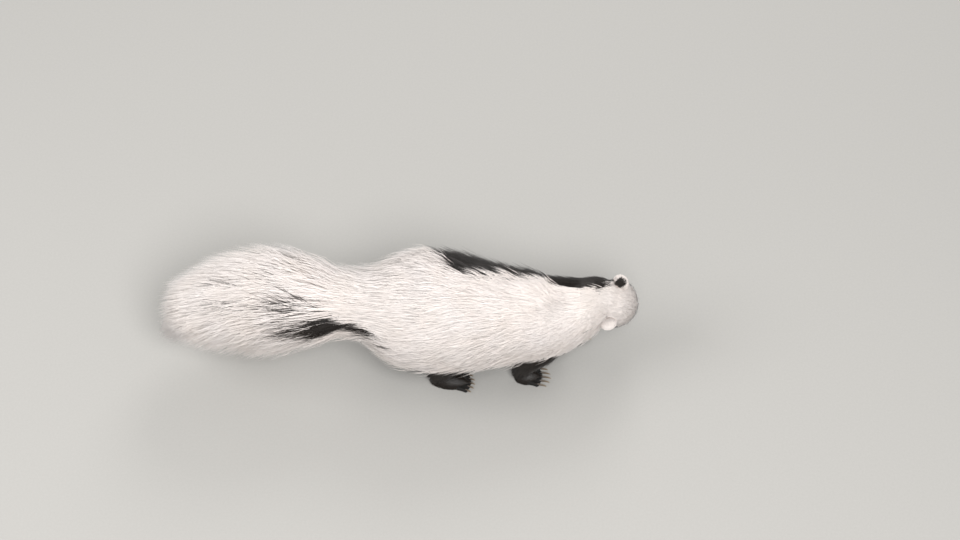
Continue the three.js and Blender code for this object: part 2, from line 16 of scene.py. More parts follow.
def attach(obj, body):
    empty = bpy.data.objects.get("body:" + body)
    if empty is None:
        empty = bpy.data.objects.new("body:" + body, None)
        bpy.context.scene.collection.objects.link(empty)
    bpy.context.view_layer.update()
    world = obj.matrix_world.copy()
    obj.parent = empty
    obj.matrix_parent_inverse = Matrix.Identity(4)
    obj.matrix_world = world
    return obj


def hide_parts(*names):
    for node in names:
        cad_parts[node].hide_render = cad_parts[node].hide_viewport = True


bl_info = {
    "name": "Striped skunk model",
    "version": (1, 0, 0),
    "blender": (4, 5, 0),
    "location": "3D View > Sidebar > Skunk",
    "description": "Makes the skin, coat, eyes, nose, claws and stage of a life-size striped skunk",
    "category": "Object",
}

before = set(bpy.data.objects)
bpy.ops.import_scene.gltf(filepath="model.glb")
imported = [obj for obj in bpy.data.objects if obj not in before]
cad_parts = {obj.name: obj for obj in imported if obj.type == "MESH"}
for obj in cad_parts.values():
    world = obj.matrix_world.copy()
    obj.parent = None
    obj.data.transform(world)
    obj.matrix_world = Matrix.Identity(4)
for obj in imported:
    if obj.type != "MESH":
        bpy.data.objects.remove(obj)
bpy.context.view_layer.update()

# Sizes of the animal

# From the tables' frame to the scene's: the box's middle lies over the origin.
MIDDLE = np.array([-2.2, 2.6, 0.0])
MM = 0.001

# The trunk at the skin: place along it, centre's y and z, half width, half height, roll to the right.
TRUNK = np.array([
    [-48, 4, 122, 20, 20, 0],
    [-30, 3, 120, 33, 33, 0],
    [0, 1, 116, 51, 50, 0],
    [45, 0, 113, 62, 60, 0],
    [100, 0, 110, 58, 57, 0],
    [160, 1, 105, 49, 52, 3],
    [212, 4, 102, 42, 46, 9],
    [243, 9, 111, 36, 40, 18],
    [264, 14, 117, 31, 36, 23],
    [284, 19, 122, 23, 26, 27],
    [299, 14, 126, 11, 13, 27],
], float)
TRUNK_REAR = -46
TRUNK_FRONT = 297
TRUNK_EASE = 20
# Ahead of this the nape's own fur takes over.
NECK_COAT_END = 272
# How deep the coat stands over the trunk's skin.
COAT = np.array([
    [-100, 26], [-40, 28], [45, 30], [120, 26], [180, 20], [230, 15], [262, 10], [282, 4],
], float)
BELLY_COAT = 0.45
# Where the white of the back ends on the far side and on the near side, in degrees of turn.
FAR_EDGE = np.array([
    [-50, 104], [-10, 90], [25, 77], [52, 66], [72, 52], [86, 27], [108, 10], [130, 8], [156, 12], [172, 19],
    [205, 27], [230, 28], [255, 24], [272, 22], [290, 30],
], float)
NEAR_EDGE = np.array([
    [-50, -120], [60, -118], [100, -108], [130, -108], [160, -106], [200, -114], [240, -110], [290, -102],
], float)

# The tail: bone's line, and the radius out to the tips of the hair. Its place runs backwards from the root.
TAIL = np.array([
    [0, -46, 4, 122, 40],
    [50, -96, 7, 126, 54],
    [100, -146, 10, 127, 76],
    [150, -196, 13, 123, 83],
    [200, -245, 12, 113, 74],
    [250, -292, 9, 98, 56],
    [300, -336, 2, 76, 26],
], float)
TAIL_FLESH = np.array([[-12, 19], [20, 15], [80, 11], [160, 8], [235, 4]], float)
TAIL_BONE_END = 235
TAIL_TIP = 302
# The plume ends sooner on its upper far side, by up to twice this, round from that turn in degrees.
TAIL_TRIM = 19
TRIM_TURN = 35
# All round it ends at least this much sooner, so that no lone tips stand out.
TAIL_BLUNT = 8

# Dark tufts laid over the plume: how many, places along it, turns, sideways drifts and length of hair.
DARK_FAN = (
    (34, (-2, 17), (-1.43, -1.15), (-0.06, 0.1), 66),
    (20, (8, 52), (-1.25, -0.95), (-0.1, 0.75), 92),
    (10, (62, 124), (-0.95, -0.2), (0.05, 0.55), 92),
)

# The head: its middle between the ears, and which way it faces.
HEAD_AT = np.array([291.0, 16.0, 116.0])
HEAD_FORWARD = np.array([0.5, 0.35, -0.79])
HEAD_LEFT = np.array([0.32, 0.8, 0.5])
# Its outline ahead of the ears: place, half width, height of crown and of jaw, and how thick its fur lies.
SKULL = np.array([
    [-27, 5, 7, -7, 3.5],
    [-23, 16, 16.5, -14.5, 5.5],
    [-13, 27, 25, -22, 7.0],
    [0, 33, 30, -26, 7.2],
    [12, 34, 31.5, -27, 6.8],
    [23, 30.5, 30, -26, 5.8],
    [32, 24, 24.5, -23.5, 3.4],
    [40, 18, 17, -21, 1.9],
    [48, 14, 10.5, -19, 1.0],
    [56, 12, 7.5, -17, 0.7],
    [64, 10.5, 5.5, -14.5, 0.6],
    [68, 8.5, 4, -12, 0.5],
], float)
NAPE = -11
NAPE_WAY = np.array([-0.96, -0.08, -0.06])
EYE = {"at": 35, "turn": 60, "radius": 4.4, "sunk": 4.2}
EAR = {"at": -12, "turn": 70, "wide": 10.5, "tall": 11, "sunk": 7.8}
# The share of each ear's back, out from its middle, that is grown in black hair as painted shade of the ear's
# opening; only the left ear has it.
EAR_PAINTED_OPENING_SHADE = {"left": 0.66, "right": 0.0}
NOSE = {"at": 68.5, "up": -1, "long": 4.8, "wide": 7, "high": 5.4, "apart": 3.3}
MOUTH = {"corner": 39, "up": -9.5}

# The legs: x, y, z and radius out to the fur, and how deep the fur is there.
LEGS = {
    "foreleg_right": ("fore", -5, [[208, -22, 94, 27, 7], [196, -30, 68, 20, 6], [178, -32, 42, 13.5, 4],
                                   [168, -31, 12, 11, 2.2]]),
    "foreleg_left": ("fore", 8, [[214, 28, 92, 27, 7], [208, 38, 66, 20, 6], [216, 40, 40, 13.5, 4],
                                 [230, 39, 12, 11, 2.2]]),
    "hindleg_right": ("hind", -7, [[60, -27, 98, 34, 8], [74, -35, 68, 24, 7], [66, -38, 39, 14.5, 4.2],
                                   [52, -38, 12, 11.5, 2.4]]),
    "hindleg_left": ("hind", 9, [[32, 31, 98, 34, 8], [40, 41, 68, 24, 7], [20, 45, 39, 14.5, 4.2],
                                 [-2, 45, 12, 11.5, 2.4]]),
}
FEET = {
    "fore": {"back": 9, "front": 24, "wide": 13, "high": 16, "toe": 4.1, "reach": 13, "claw": 15},
    "hind": {"back": 10, "front": 42, "wide": 12.5, "high": 16, "toe": 4, "reach": 12, "claw": 8},
}
TOES = 5
# How high the ankle is over the floor.
WRIST = 15

# What the camera looks at.
AIM = np.array([112.0, 100.9, 70.7])

# The floor's half side in metres, and how many cells it has each way.
FLOOR_REACH, FLOOR_CELLS = 6, 12
# The soft lights: name, place and diameter in metres, and share of the light's power.
LAMPS = (
    ("key", (0.6, -1.9, 2.6), 1.6, 1),
    ("fill", (-1.9, -0.4, 1.9), 1.8, 0.4),
    ("back", (0.7, 2.2, 1.9), 1.6, 0.35),
)

SEED = 7013


# Shapes shared by the skin and the coat

def along(table, column, at):
    """One column of a table at any places, on a smooth curve through its rows."""
    x = table[:, 0]
    y = table[:, column]
    at = np.asarray(at, float)
    last = len(x) - 1
    order = np.arange(last + 1)
    low, high = np.maximum(order - 1, 0), np.minimum(order + 1, last)
    slope = (y[high] - y[low]) / (x[high] - x[low])
    i = np.clip(np.searchsorted(x, at, side="left") - 1, 0, last - 1)
    span = x[i + 1] - x[i]
    t = (at - x[i]) / span
    inside = (
        y[i] * (2 * t ** 3 - 3 * t ** 2 + 1)
        + slope[i] * span * (t ** 3 - 2 * t ** 2 + t)
        + y[i + 1] * (3 * t ** 2 - 2 * t ** 3)
        + slope[i + 1] * span * (t ** 3 - t ** 2)
    )
    before = y[0] + slope[0] * (at - x[0])
    after = y[-1] + slope[-1] * (at - x[-1])
    return np.where(at < x[0], before, np.where(at > x[-1], after, inside))


def unit(vectors):
    return vectors / np.maximum(np.linalg.norm(vectors, axis=-1, keepdims=True), 1e-9)


def smoothstep(value, low, high):
    t = np.clip((value - low) / (high - low), 0, 1)
    return t * t * (3 - 2 * t)


def col(values):
    return np.asarray(values)[..., None]


def wrapped(turn):
    return np.arctan2(np.sin(turn), np.cos(turn))


def trunk_line(at):
    return np.stack([at, along(TRUNK, 1, at), along(TRUNK, 2, at)], -1)


def trunk_frame(at):
    """The trunk's middle, left and up at any place, with its bends eased so that no crease shows."""
    at = np.asarray(at, float)
    centre = trunk_line(at)
    forward = unit(trunk_line(at + TRUNK_EASE) - trunk_line(at - TRUNK_EASE))
    left = unit(np.array([0.0, 1.0, 0.0]) - forward * forward[..., 1:2])
    up = np.cross(forward, left)
    roll = col(np.radians(along(TRUNK, 5, at)))
    return centre, left * np.cos(roll) + up * np.sin(roll), up * np.cos(roll) - left * np.sin(roll)


def trunk_place(at, turn, height):
    """Points over the trunk's skin, and the way out of it there."""
    centre, left, up = trunk_frame(at)
    reach = np.maximum(at, TRUNK_REAR)
    wide, high = col(along(TRUNK, 3, reach)), col(along(TRUNK, 4, reach))
    s, c = col(np.sin(turn)), col(np.cos(turn))
    normal = unit(left * s / wide + up * c / high)
    return centre + left * s * wide + up * c * high + normal * col(height), normal


def belly_share(turn):
    down = np.abs(wrapped(turn)) / math.pi
    return 1 - (1 - BELLY_COAT) * smoothstep(down, 0.55, 0.9)


def coat_depth(at, turn):
    """How far the coat's tips stand off, less on the near flank, where it lies flat."""
    stretch = smoothstep(at, -45, -10) * (1 - smoothstep(at, 100, 150))
    near = np.exp(-((np.degrees(wrapped(turn)) + 88) / 42) ** 2) * stretch
    return along(COAT, 1, at) * belly_share(turn) * (1 - 0.27 * near)


def tail_place(at, turn, radius):
    """Points round the tail's bone at a distance from it, and the way out."""
    centre = np.stack([along(TAIL, k, at) for k in (1, 2, 3)], -1)
    ahead = np.stack([along(TAIL, k, np.asarray(at, float) + 1) for k in (1, 2, 3)], -1)
    back = unit(ahead - centre)
    left = unit(np.array([0.0, 1.0, 0.0]) - back * back[..., 1:2])
    up = np.cross(left, back)
    normal = left * col(np.sin(turn)) + up * col(np.cos(turn))
    # At the plume's end the way out turns to the rear, so that the end looks round.
    rear = col(smoothstep(at, 215, 295))
    rounded = unit(normal * (1 - 0.8 * rear) + back * 1.3 * rear)
    return centre + normal * col(radius), rounded


head_forward = unit(HEAD_FORWARD)
head_up = unit(np.cross(head_forward, HEAD_LEFT))
HEAD_AXES = np.array([head_forward, np.cross(head_up, head_forward), head_up])


def from_head(points):
    return points @ HEAD_AXES + HEAD_AT


def to_head(points):
    return (points - HEAD_AT) @ HEAD_AXES.T


def skull_local(at, turn, grow):
    """Points on the head in its own frame, grown out from the fur's level."""
    wide, top, low = (along(SKULL, k, at) for k in (1, 2, 3))
    y = np.sin(turn) * (wide + grow)
    z = (top + low) / 2 + np.cos(turn) * ((top - low) / 2 + grow)
    return np.stack([np.broadcast_to(at, y.shape).astype(float), y, z], -1)


def skull_normal(at, turn):
    a = skull_local(at + 1, turn, 0) - skull_local(at - 1, turn, 0)
    b = skull_local(at, turn + 0.02, 0) - skull_local(at, turn - 0.02, 0)
    return unit(np.cross(a, b))


def head_place(at, turn, height):
    """Points over the head's skin, under the fur by its depth. Behind the ears they run onto the neck."""
    held = np.maximum(at, NAPE)
    normal = skull_normal(held, turn)
    local = skull_local(held, turn, 0) + normal * col(height - along(SKULL, 4, held))
    return from_head(local) + NAPE_WAY * col(held - at), normal @ HEAD_AXES


def eye_frame(side):
    """The eyeball's centre and axes in the head's frame: forwards, sideways and out."""
    at, turn = np.array(float(EYE["at"])), np.array(side * math.radians(EYE["turn"]))
    out = skull_normal(at, turn)
    centre = skull_local(at, turn, 0) - out * EYE["sunk"]
    across = unit(np.cross(out, np.array([1.0, 0, 0])))
    return centre, np.cross(across, out), across, out


def ear_frame(side):
    """The ear's centre and axes in the head's frame: across, upright and out of its opening."""
    point = skull_local(np.array(float(EAR["at"])), np.array(side * math.radians(EAR["turn"])), 0)
    upright = unit(np.array([-0.3, side * 0.72, 0.62]))
    outward = np.array([0.8, side * 0.6, 0.0])
    opening = unit(outward - upright * (upright @ outward))
    return point + upright * (EAR["tall"] - EAR["sunk"]), np.cross(upright, opening), upright, opening


def near_ears(points, limit):
    """Which points lie closer than that to the middle of either ear."""
    local = to_head(points)
    middles = [ear_frame(side)[0] for side in (-1, 1)]
    return np.min([np.linalg.norm(local - middle, axis=-1) for middle in middles], axis=0) < limit


def ear_cup(reach):
    """How deep the ear's sheet is dished at a share of the way out to its rim."""
    return -4.2 * np.maximum(1 - reach ** 2, 0) ** 0.8


def limb_frame(line, t):
    """A limb's centre, its two cross axes, its radius and its fur's depth, on a curve through its rows."""
    table = np.column_stack([np.linspace(0, 1, len(line)), line])
    t = np.asarray(t, float)
    centre = np.stack([along(table, k, t) for k in (1, 2, 3)], -1)
    ahead = np.stack([along(table, k, t + 0.01) for k in (1, 2, 3)], -1)
    forward = unit(ahead - centre)
    side = unit(np.cross(np.array([0.0, 1.0, 0.0]), forward))
    return centre, side, np.cross(forward, side), along(table, 4, t), along(table, 5, t)


def limb_length(line):
    return float(np.linalg.norm(np.diff(np.array(line)[:, :3], axis=0), axis=1).sum())


def foot_axes(leg):
    """Where a foot stands: its ankle's x and y, and its own forward and left."""
    _, turn, line = LEGS[leg]
    a = math.radians(turn)
    axes = [[math.cos(a), math.sin(a), 0], [-math.sin(a), math.cos(a), 0], [0, 0, 1]]
    return np.array([line[-1][0], line[-1][1], 0.0]), np.array(axes)


# The markings, 1 where the coat is white and 0 where it is black

def ripple(a, b):
    """A slow uneven wave from -1 to 1, for edges that wander."""
    broad = 0.5 * np.sin(a * 0.083 + 1.3) + 0.3 * np.sin(a * 0.21 + b * 1.7 + 0.4)
    return broad + 0.2 * np.sin(a * 0.47 - b * 2.9)


def trunk_marking(at, turn):
    degrees = np.degrees(wrapped(turn))
    far = along(FAR_EDGE, 1, at) + 4.5 * ripple(at, turn)
    near = along(NEAR_EDGE, 1, at) + 5 * ripple(at + 90, turn)
    streak = 1.6 * np.exp(-((degrees + 74) / 6.5) ** 2) * smoothstep(-at, -30, -10)
    white = smoothstep(degrees, near - 4, near + 4) * (1 - smoothstep(degrees, far - 3.5, far + 3.5))
    return white * (1 - streak).clip(0, 1)


def tail_marking(at, turn):
    degrees = np.degrees(wrapped(turn))
    spot = 1.7 * np.exp(-((at - 4) / 13) ** 2 - ((degrees + 74) / 10) ** 2)
    trail = 0.16 * np.exp(-((degrees + 66) / 10) ** 2) * smoothstep(at, 10, 20) * (1 - smoothstep(at, 30, 50))
    under = 0.6 * smoothstep(np.abs(degrees), 150, 172) * (1 - smoothstep(at, 50, 100))
    return np.clip(1 - spot - trail - under, 0, 1)


def head_marking(at, turn):
    degrees = np.degrees(wrapped(turn))
    edge = np.interp(at, [-27, -10, 8, 22, 30, 36, 46, 58, 64], [118, 108, 96, 76, 46, 24, 18, 13, 0])
    # On the far side the cap draws in again behind the ear.
    edge = np.where(degrees > 0, np.minimum(edge, np.interp(at, [-27, -14, -2], [56, 80, 110])), edge)
    wander = 4 * ripple(at * 3, turn) * smoothstep(-at, -30, 0)
    return 1 - smoothstep(np.abs(degrees), edge + wander - 5, edge + wander + 5)


# Making meshes

def grid(at, sides):
    """Every place along a form with every turn round it."""
    return np.meshgrid(at, np.linspace(0, 2 * math.pi, sides, endpoint=False), indexing="ij")


def piece(name, points, faces, finish=None, normals=None):
    """A mesh object from points in the tables' frame, and faces of any size or an array of triangles."""
    mesh = bpy.data.meshes.new(name)
    placed = (np.asarray(points, float) - MIDDLE) * MM
    if isinstance(faces, np.ndarray):
        count = len(faces)
        mesh.vertices.add(len(placed))
        mesh.vertices.foreach_set("co", placed.astype(np.float32).ravel())
        mesh.loops.add(count * 3)
        mesh.loops.foreach_set("vertex_index", faces.astype(np.int32).ravel())
        mesh.polygons.add(count)
        mesh.polygons.foreach_set("loop_start", np.arange(0, count * 3, 3, dtype=np.int32))
        mesh.update(calc_edges=True)
        mesh.validate()
    else:
        mesh.from_pydata(placed.tolist(), [], faces)
    mesh.shade_smooth()
    if normals is not None:
        mesh.normals_split_custom_set_from_vertices(normals.tolist())
    obj = bpy.data.objects.new(name, mesh)
    bpy.context.scene.collection.objects.link(obj)
    if finish:
        mesh.materials.append(finish_of(finish))
    return obj


def put(mesh, **fields):
    """Writes a number or a vector for each of the mesh's points, by name."""
    for name, values in fields.items():
        values = np.asarray(values, np.float32)
        kind, key = ("FLOAT", "value") if values.ndim == 1 else ("FLOAT_VECTOR", "vector")
        mesh.attributes.new(name, kind, "POINT").data.foreach_set(key, values.ravel())


def settle(obj, slot, *nodes):
    """Puts a finished piece on the body and hides the solids that it stands for. Its slot is not used."""
    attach(obj, "root")
    if nodes:
        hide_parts(*nodes)


def loft(rings, closed=False):
    """Points and faces over rings of equal size, joined end to end or with a lid at each end."""
    count, sides = rings.shape[:2]
    faces = []
    for i in range(count if closed else count - 1):
        ahead = ((i + 1) % count - i) * sides
        for k in range(sides):
            a, b = i * sides + k, i * sides + (k + 1) % sides
            faces.append((a, b, b + ahead, a + ahead))
    if not closed:
        faces.append(tuple(range(sides - 1, -1, -1)))
        faces.append(tuple(range((count - 1) * sides, count * sides)))
    return rings.reshape(-1, 3), faces


def egg(half, around=28, down=18):
    """A closed ball with chosen half sizes."""
    theta, phi = grid(np.linspace(0.06, math.pi - 0.06, down), around)
    ways = np.stack([np.sin(theta) * np.cos(phi), np.sin(theta) * np.sin(phi), np.cos(theta)], -1)
    return loft(ways * half)


def tube(centres, radii, sides, flat=1.0):
    """A closed tube along a line of points, with its own radius at each."""
    centres = np.asarray(centres, float)
    forward = unit(np.gradient(centres, axis=0))
    side = unit(np.cross(np.array([0.0, 1.0, 0.05]), forward))
    other = np.cross(forward, side)
    radii, turn = grid(radii, sides)
    return loft(centres[:, None] + side[:, None] * col(np.cos(turn) * radii)
                + other[:, None] * col(np.sin(turn) * radii * flat))


def gather(parts):
    """Several closed surfaces as one list of points and faces."""
    points, faces, start = [], [], 0
    for p, f in parts:
        points.append(p)
        faces.extend(tuple(i + start for i in face) for face in f)
        start += len(p)
    return np.concatenate(points), faces


# Finishes

def linear(code):
    """An sRGB hex colour as linear red, green, blue and alpha."""
    parts = [int(code[i:i + 2], 16) / 255 for i in (1, 3, 5)]
    return tuple(c / 12.92 if c <= 0.04045 else ((c + 0.055) / 1.055) ** 2.4 for c in parts) + (1.0,)


def add(tree, kind, sockets=None, ramp=(), **settings):
    """One node with its settings. A socket takes a value, or a link from a pair of node and output."""
    node = tree.nodes.new("ShaderNode" + kind)
    for key, value in settings.items():
        setattr(node, key, value)
    for key, value in (sockets or {}).items():
        if isinstance(value, tuple) and isinstance(value[0], bpy.types.Node):
            tree.links.new(value[0].outputs[value[1]], node.inputs[key])
        else:
            node.inputs[key].default_value = value
    if ramp:
        stops = node.color_ramp.elements
        while len(stops) < len(ramp):
            stops.new(0.5)
        for stop, (place, colour) in zip(stops, ramp):
            stop.position = place
            stop.color = colour
    return node


def field(tree, name, out="Fac"):
    return add(tree, "Attribute", attribute_name=name), out


def noise(tree, place, scale, detail, **more):
    return add(tree, "TexNoise", {"Vector": place, "Scale": scale, "Detail": detail} | more), "Fac"


def blend(tree, share, a, b, kind="MIX"):
    return add(tree, "Mix", {0: share, 6: a, 7: b}, data_type="RGBA", blend_type=kind), 2


def ramped(tree, share, *stops):
    return add(tree, "ValToRGB", {0: share}, stops), "Color"


def bumped(tree, height, strength, distance, invert=False):
    sockets = {"Height": height, "Strength": strength, "Distance": distance}
    return add(tree, "Bump", sockets, invert=invert), "Normal"


def finish(tree, colour, rough, ior, specular=0.5, **more):
    """The surface shader, joined to the output. Words in a socket's name are joined by _ here."""
    sockets = {"Base Color": colour, "Roughness": rough, "IOR": ior, "Specular IOR Level": specular}
    sockets |= {key.replace("_", " "): value for key, value in more.items()}
    add(tree, "OutputMaterial", {"Surface": (add(tree, "BsdfPrincipled", sockets), "BSDF")})


def guard_hair(tree, place, root, middle, tip, sheen, rough):
    """Guard hair, grown: keratin darker and denser at the root, paler towards the tip, where the black hair's
    brown tip is painted sheen.
    """
    hair_colour_and_sheen = ramped(tree, field(tree, "reach"), (0.0, root), (0.38, middle), (1.0, tip))
    # Patches of 45 mm where the coat is a little more stained or cleaner.
    stained = blend(tree, noise(tree, place, 1 / 0.045, 3.0), hair_colour_and_sheen, (0.93, 0.885, 0.83, 1), "MULTIPLY")
    # Each hair's own tone, one step darker or lighter than its neighbour's, times the painted shade that its
    # tuft may carry.
    toned = add(tree, "HueSaturation", {"Color": stained, "Value": field(tree, "tone")}), "Color"
    # The scales of a hair are far too fine to show, so their break-up is drawn at 0.7 mm.
    scales = bumped(tree, noise(tree, place, 1 / 0.0007, 2.0), 0.12, 0.0002)
    finish(tree, toned, rough, 1.55, 0.32, Sheen_Weight=sheen, Sheen_Roughness=0.45, Normal=scales)


def haired_hide(tree, lie, white, black, leather):
    """Hide with short flat hair: the hair's own streaks over the skin, with bare leather on the soles."""
    # Short hairs 6 mm long and 0.5 mm apart: the real 0.1 mm would not show.
    stretch = add(tree, "Mapping", {"Vector": lie, "Scale": (1 / 6.0, 1 / 0.55, 1 / 0.55)}), "Vector"
    streaks = noise(tree, stretch, 1.0, 3.0, Roughness=0.6)
    coat = blend(tree, field(tree, "marking"), black, white)
    skin = blend(tree, field(tree, "bare"), coat, leather)
    shade = ramped(tree, streaks, (0.3, (0.5, 0.5, 0.5, 1)), (0.62, (1, 1, 1, 1)))
    streaked = blend(tree, 0.75, skin, shade, "MULTIPLY")
    # Blotches of 20 mm, as of dust and worn hair.
    mottled = blend(tree, noise(tree, lie, 0.05, 3.0), streaked, (0.86, 0.8, 0.76, 1), "MULTIPLY")
    finish(tree, mottled, 0.62, 1.5, 0.3, Sheen_Weight=0.1, Sheen_Roughness=0.5,
           Normal=bumped(tree, streaks, 0.7, 0.0006))


def nose_leather(tree, place, colour, worn, rough):
    """Bare rhinarium leather, moist: fine cobbles that catch small highlights."""
    # Cobbles of 0.35 mm, drawn at 0.8 mm so that they show.
    cobbles = add(tree, "TexVoronoi", {"Vector": place, "Scale": 1 / 0.0008}, feature="SMOOTH_F1"), "Distance"
    blotch = noise(tree, place, 1 / 0.004, 4.0)
    wet = add(tree, "MapRange", {"Value": blotch, "To Min": rough, "To Max": rough + 0.2}), 0
    finish(tree, blend(tree, blotch, colour, worn), wet, 1.45, 0.4,
           Normal=bumped(tree, cobbles, 0.5, 0.0003, invert=True))


def claw_horn(tree, place, root, tip):
    """Claw keratin, grown and worn by digging: dark at the quick, paler and scratched at the tip."""
    # Growth lines 0.4 mm apart along the claw, drawn at 0.8 mm.
    lines = noise(tree, place, 1 / 0.0008, 3.0)
    along_claw = ramped(tree, field(tree, "reach"), (0.1, root), (0.9, tip))
    finish(tree, blend(tree, lines, along_claw, (0.7, 0.66, 0.6, 1), "MULTIPLY"), 0.36, 1.55,
           Normal=bumped(tree, lines, 0.25, 0.0002))


def wet_eye(tree, place, pupil, iris, rim):
    """A living eye: dark brown iris under a clear wet cornea, which gives one sharp highlight."""
    # Fibres of the iris about 0.25 mm apart, drawn at 0.5 mm.
    fibres = noise(tree, place, 1 / 0.0005, 3.0)
    stops = (0.0, pupil), (0.36, pupil), (0.42, iris), (0.72, iris), (0.82, rim)
    rings = ramped(tree, field(tree, "reach"), *stops)
    finish(tree, blend(tree, fibres, rings, (0.45, 0.4, 0.36, 1), "MULTIPLY"), 0.2, 1.38, 0.15,
           Coat_Weight=0.7, Coat_Roughness=0.03)


def studio_paper(tree, place, colour, shade):
    """Matt background paper, rolled: even, with a very faint tooth."""
    finish(tree, blend(tree, noise(tree, place, 1 / 0.003, 4.0), colour, shade), 0.9, 1.45, 0.2)


def finish_of(key):
    """The material of that kind, made once."""
    made = bpy.data.materials.get(key)
    if made is not None:
        return made
    look = bpy.context.scene.skunk_look
    maker, *values = {
        "white_guard_hair": (guard_hair, "#dcd0ca", tuple(look.white), "#f8f3f1", 0.3, 0.6),
        # The black hair's brown tip colour is painted sheen.
        "black_guard_hair": (guard_hair, "#0d0b0a", tuple(look.black), "#2a221d", 0.12, 0.42),
        "short_haired_hide": (haired_hide, "#d8cec6", "#14110f", "#3a3230"),
        "moist_nose_leather": (nose_leather, "#100d0c", "#1f1a18", 0.3),
        "bare_lid_skin": (nose_leather, "#0c0a09", "#161211", 0.5),
        "worn_claw_horn": (claw_horn, "#4a3f35", "#a08d74"),
        "wet_dark_eye": (wet_eye, "#020202", "#170d08", "#080605"),
        "matt_studio_paper": (studio_paper, tuple(look.floor), "#b6b4b0"),
    }[key]
    made = bpy.data.materials.new(key)
    made.use_nodes = True
    tree = made.node_tree
    tree.nodes.clear()
    # The hide's pattern follows the lie of its hair, and every other one the piece itself.
    place = field(tree, "lie", "Vector") if maker is haired_hide else (add(tree, "TexCoord"), "Object")
    maker(tree, place, *[linear(value) if isinstance(value, str) else value for value in values])
    return made


# The coat

STATIONS = {3: np.array([0, 0.5, 1.0]), 4: np.array([0, 0.34, 0.68, 1.0])}
HAIR_TAPER = np.array([0.8, 1.0, 0.85])
PATCH = 0.003
MOST_TRIANGLES = 198000


def spread_roots(count, u_range, v_range, weight, rng):
    """Evenly spread places, as many as asked for, denser where the weight is higher."""
    tries = count * 6
    i = np.arange(tries) + rng.integers(0, 1000)
    u = u_range[0] + np.mod(i * 0.7548776662466927, 1) * (u_range[1] - u_range[0])
    v = v_range[0] + np.mod(i * 0.5698402909980532, 1) * (v_range[1] - v_range[0])
    share = weight(u, v)
    keep = rng.random(tries) < share / share.max()
    order = np.flatnonzero(keep)[:count]
    return u[order], v[order]


def over_skin(points, bvh, limit):
    """Which points lie on the one skin, not inside another part of the body."""
    return np.array([bvh.find_nearest(Vector(p), limit * MM)[0] is not None for p in (points - MIDDLE) * MM])


def grow_tufts(place, u, v, tuft, rng):
    """Thin closed hairs in tufts. Each hair starts near its tuft's root and leans in towards the tuft's tip.

    place(u, v, height) gives points and the way out. tuft holds, for each root or for all: long, wide, drift,
    tip (height), sunk, spread (mm at the root), across (mm per radian of v), gather, rise, hairs, steps, lie.
    It may hold uneven and shade, last and ragged for where hairs have to end, reach and share for an outer
    form that the tips keep to, and trim, which moves finished points.
    """
    count, hairs = len(u), tuft["hairs"]
    steps = STATIONS[tuft["steps"]]

    def each(value):
        return np.repeat(np.broadcast_to(np.asarray(value, float), (count,)), hairs)

    total = count * hairs
    long = each(tuft["long"]) * (1 + 0.16 * rng.standard_normal(total)).clip(0.55, 1.4)
    uneven = (1 + tuft.get("uneven", 0.16) * rng.standard_normal(total)).clip(0.3, 1.28)
    spread = each(tuft["spread"])
    radius = np.sqrt(rng.random(total)) * spread
    angle = rng.random(total) * 2 * math.pi
    du = radius * np.cos(angle)
    dv = radius * np.sin(angle) / each(tuft["across"])
    bend = 0.5 * spread * rng.standard_normal(total) / each(tuft["across"])
    gathering = each(tuft["gather"])
    t = steps[None, :]
    pull = 1 - gathering[:, None] * t
    if "last" in tuft:
        ragged = tuft["ragged"] * rng.random(total)
        long = np.minimum(long, each(tuft["last"]) - each(u) - du * (1 - gathering) - ragged)
    if "reach" in tuft:
        end = each(u) + du * (1 - gathering) + long
        tip = tuft["reach"](end) * (each(tuft["share"]) * uneven).clip(0.1, 1.0) - each(tuft["tip"])
    else:
        tip = each(tuft["tip"]) * uneven
    uu = each(u)[:, None] + du[:, None] * pull + tuft.get("lie", -1) * long[:, None] * t
    vv = each(v)[:, None] + dv[:, None] * pull + each(tuft["drift"])[:, None] * t + bend[:, None] * t ** 2
    sunk = each(tuft["sunk"])[:, None]
    points, out = place(uu, vv, -sunk + (tip[:, None] + sunk) * (1 - (1 - t) ** tuft["rise"]))
    if "trim" in tuft:
        points = tuft["trim"](points)
    lean = np.empty_like(points)
    lean[:, 1:-1] = points[:, 2:] - points[:, :-2]
    lean[:, 0] = points[:, 1] - points[:, 0]
    lean[:, -1] = points[:, -1] - points[:, -2]
    width = each(tuft["wide"]) * (1 + 0.2 * rng.standard_normal(total)).clip(0.5, 1.6)
    half = (width[:, None] * HAIR_TAPER[:len(steps) - 1])[..., None] / 2
    body, edge, n = points[:, :-1], unit(np.cross(unit(lean), out))[:, :-1], out[:, :-1]
    ring = np.stack([body - edge * half, body + edge * half, body + n * half * 0.9], 2)
    bent = np.stack([n - edge * 0.55, n + edge * 0.55, n], 2)
    rings = len(steps) - 1
    per = rings * 3 + 1
    verts = np.concatenate([ring.reshape(total, -1, 3), points[:, -1:]], 1)
    normals = unit(np.concatenate([bent.reshape(total, -1, 3), out[:, -1:]], 1))
    faces = [(0, 1, 2)]
    for j in range(rings - 1):
        for k in range(3):
            a, b = j * 3 + k, j * 3 + (k + 1) % 3
            faces += [(a, a + 3, b), (b, a + 3, b + 3)]
    last = (rings - 1) * 3
    faces += [(last + k, per - 1, last + (k + 1) % 3) for k in range(3)]
    # Random tone of each hair, times its tuft's painted shade (1 where there is none).
    tone = each(tuft.get("shade", 1)) * (1 + 0.05 * rng.standard_normal(total))
    return {
        "points": verts.reshape(-1, 3),
        "normals": normals.reshape(-1, 3),
        "faces": (np.array(faces)[None] + (np.arange(total) * per)[:, None, None]).reshape(-1, 3),
        "reach": np.tile(np.concatenate([np.repeat(steps[:-1], 3), [1.0]]), total),
        "across": np.tile(np.concatenate([np.tile([-0.5, 0.5, 0.0], rings), [0.0]]), total),
        "tone": np.repeat(tone.clip(0.5, 1.15), per),
        "tuft": np.repeat(np.repeat(np.arange(count), hairs), per),
    }


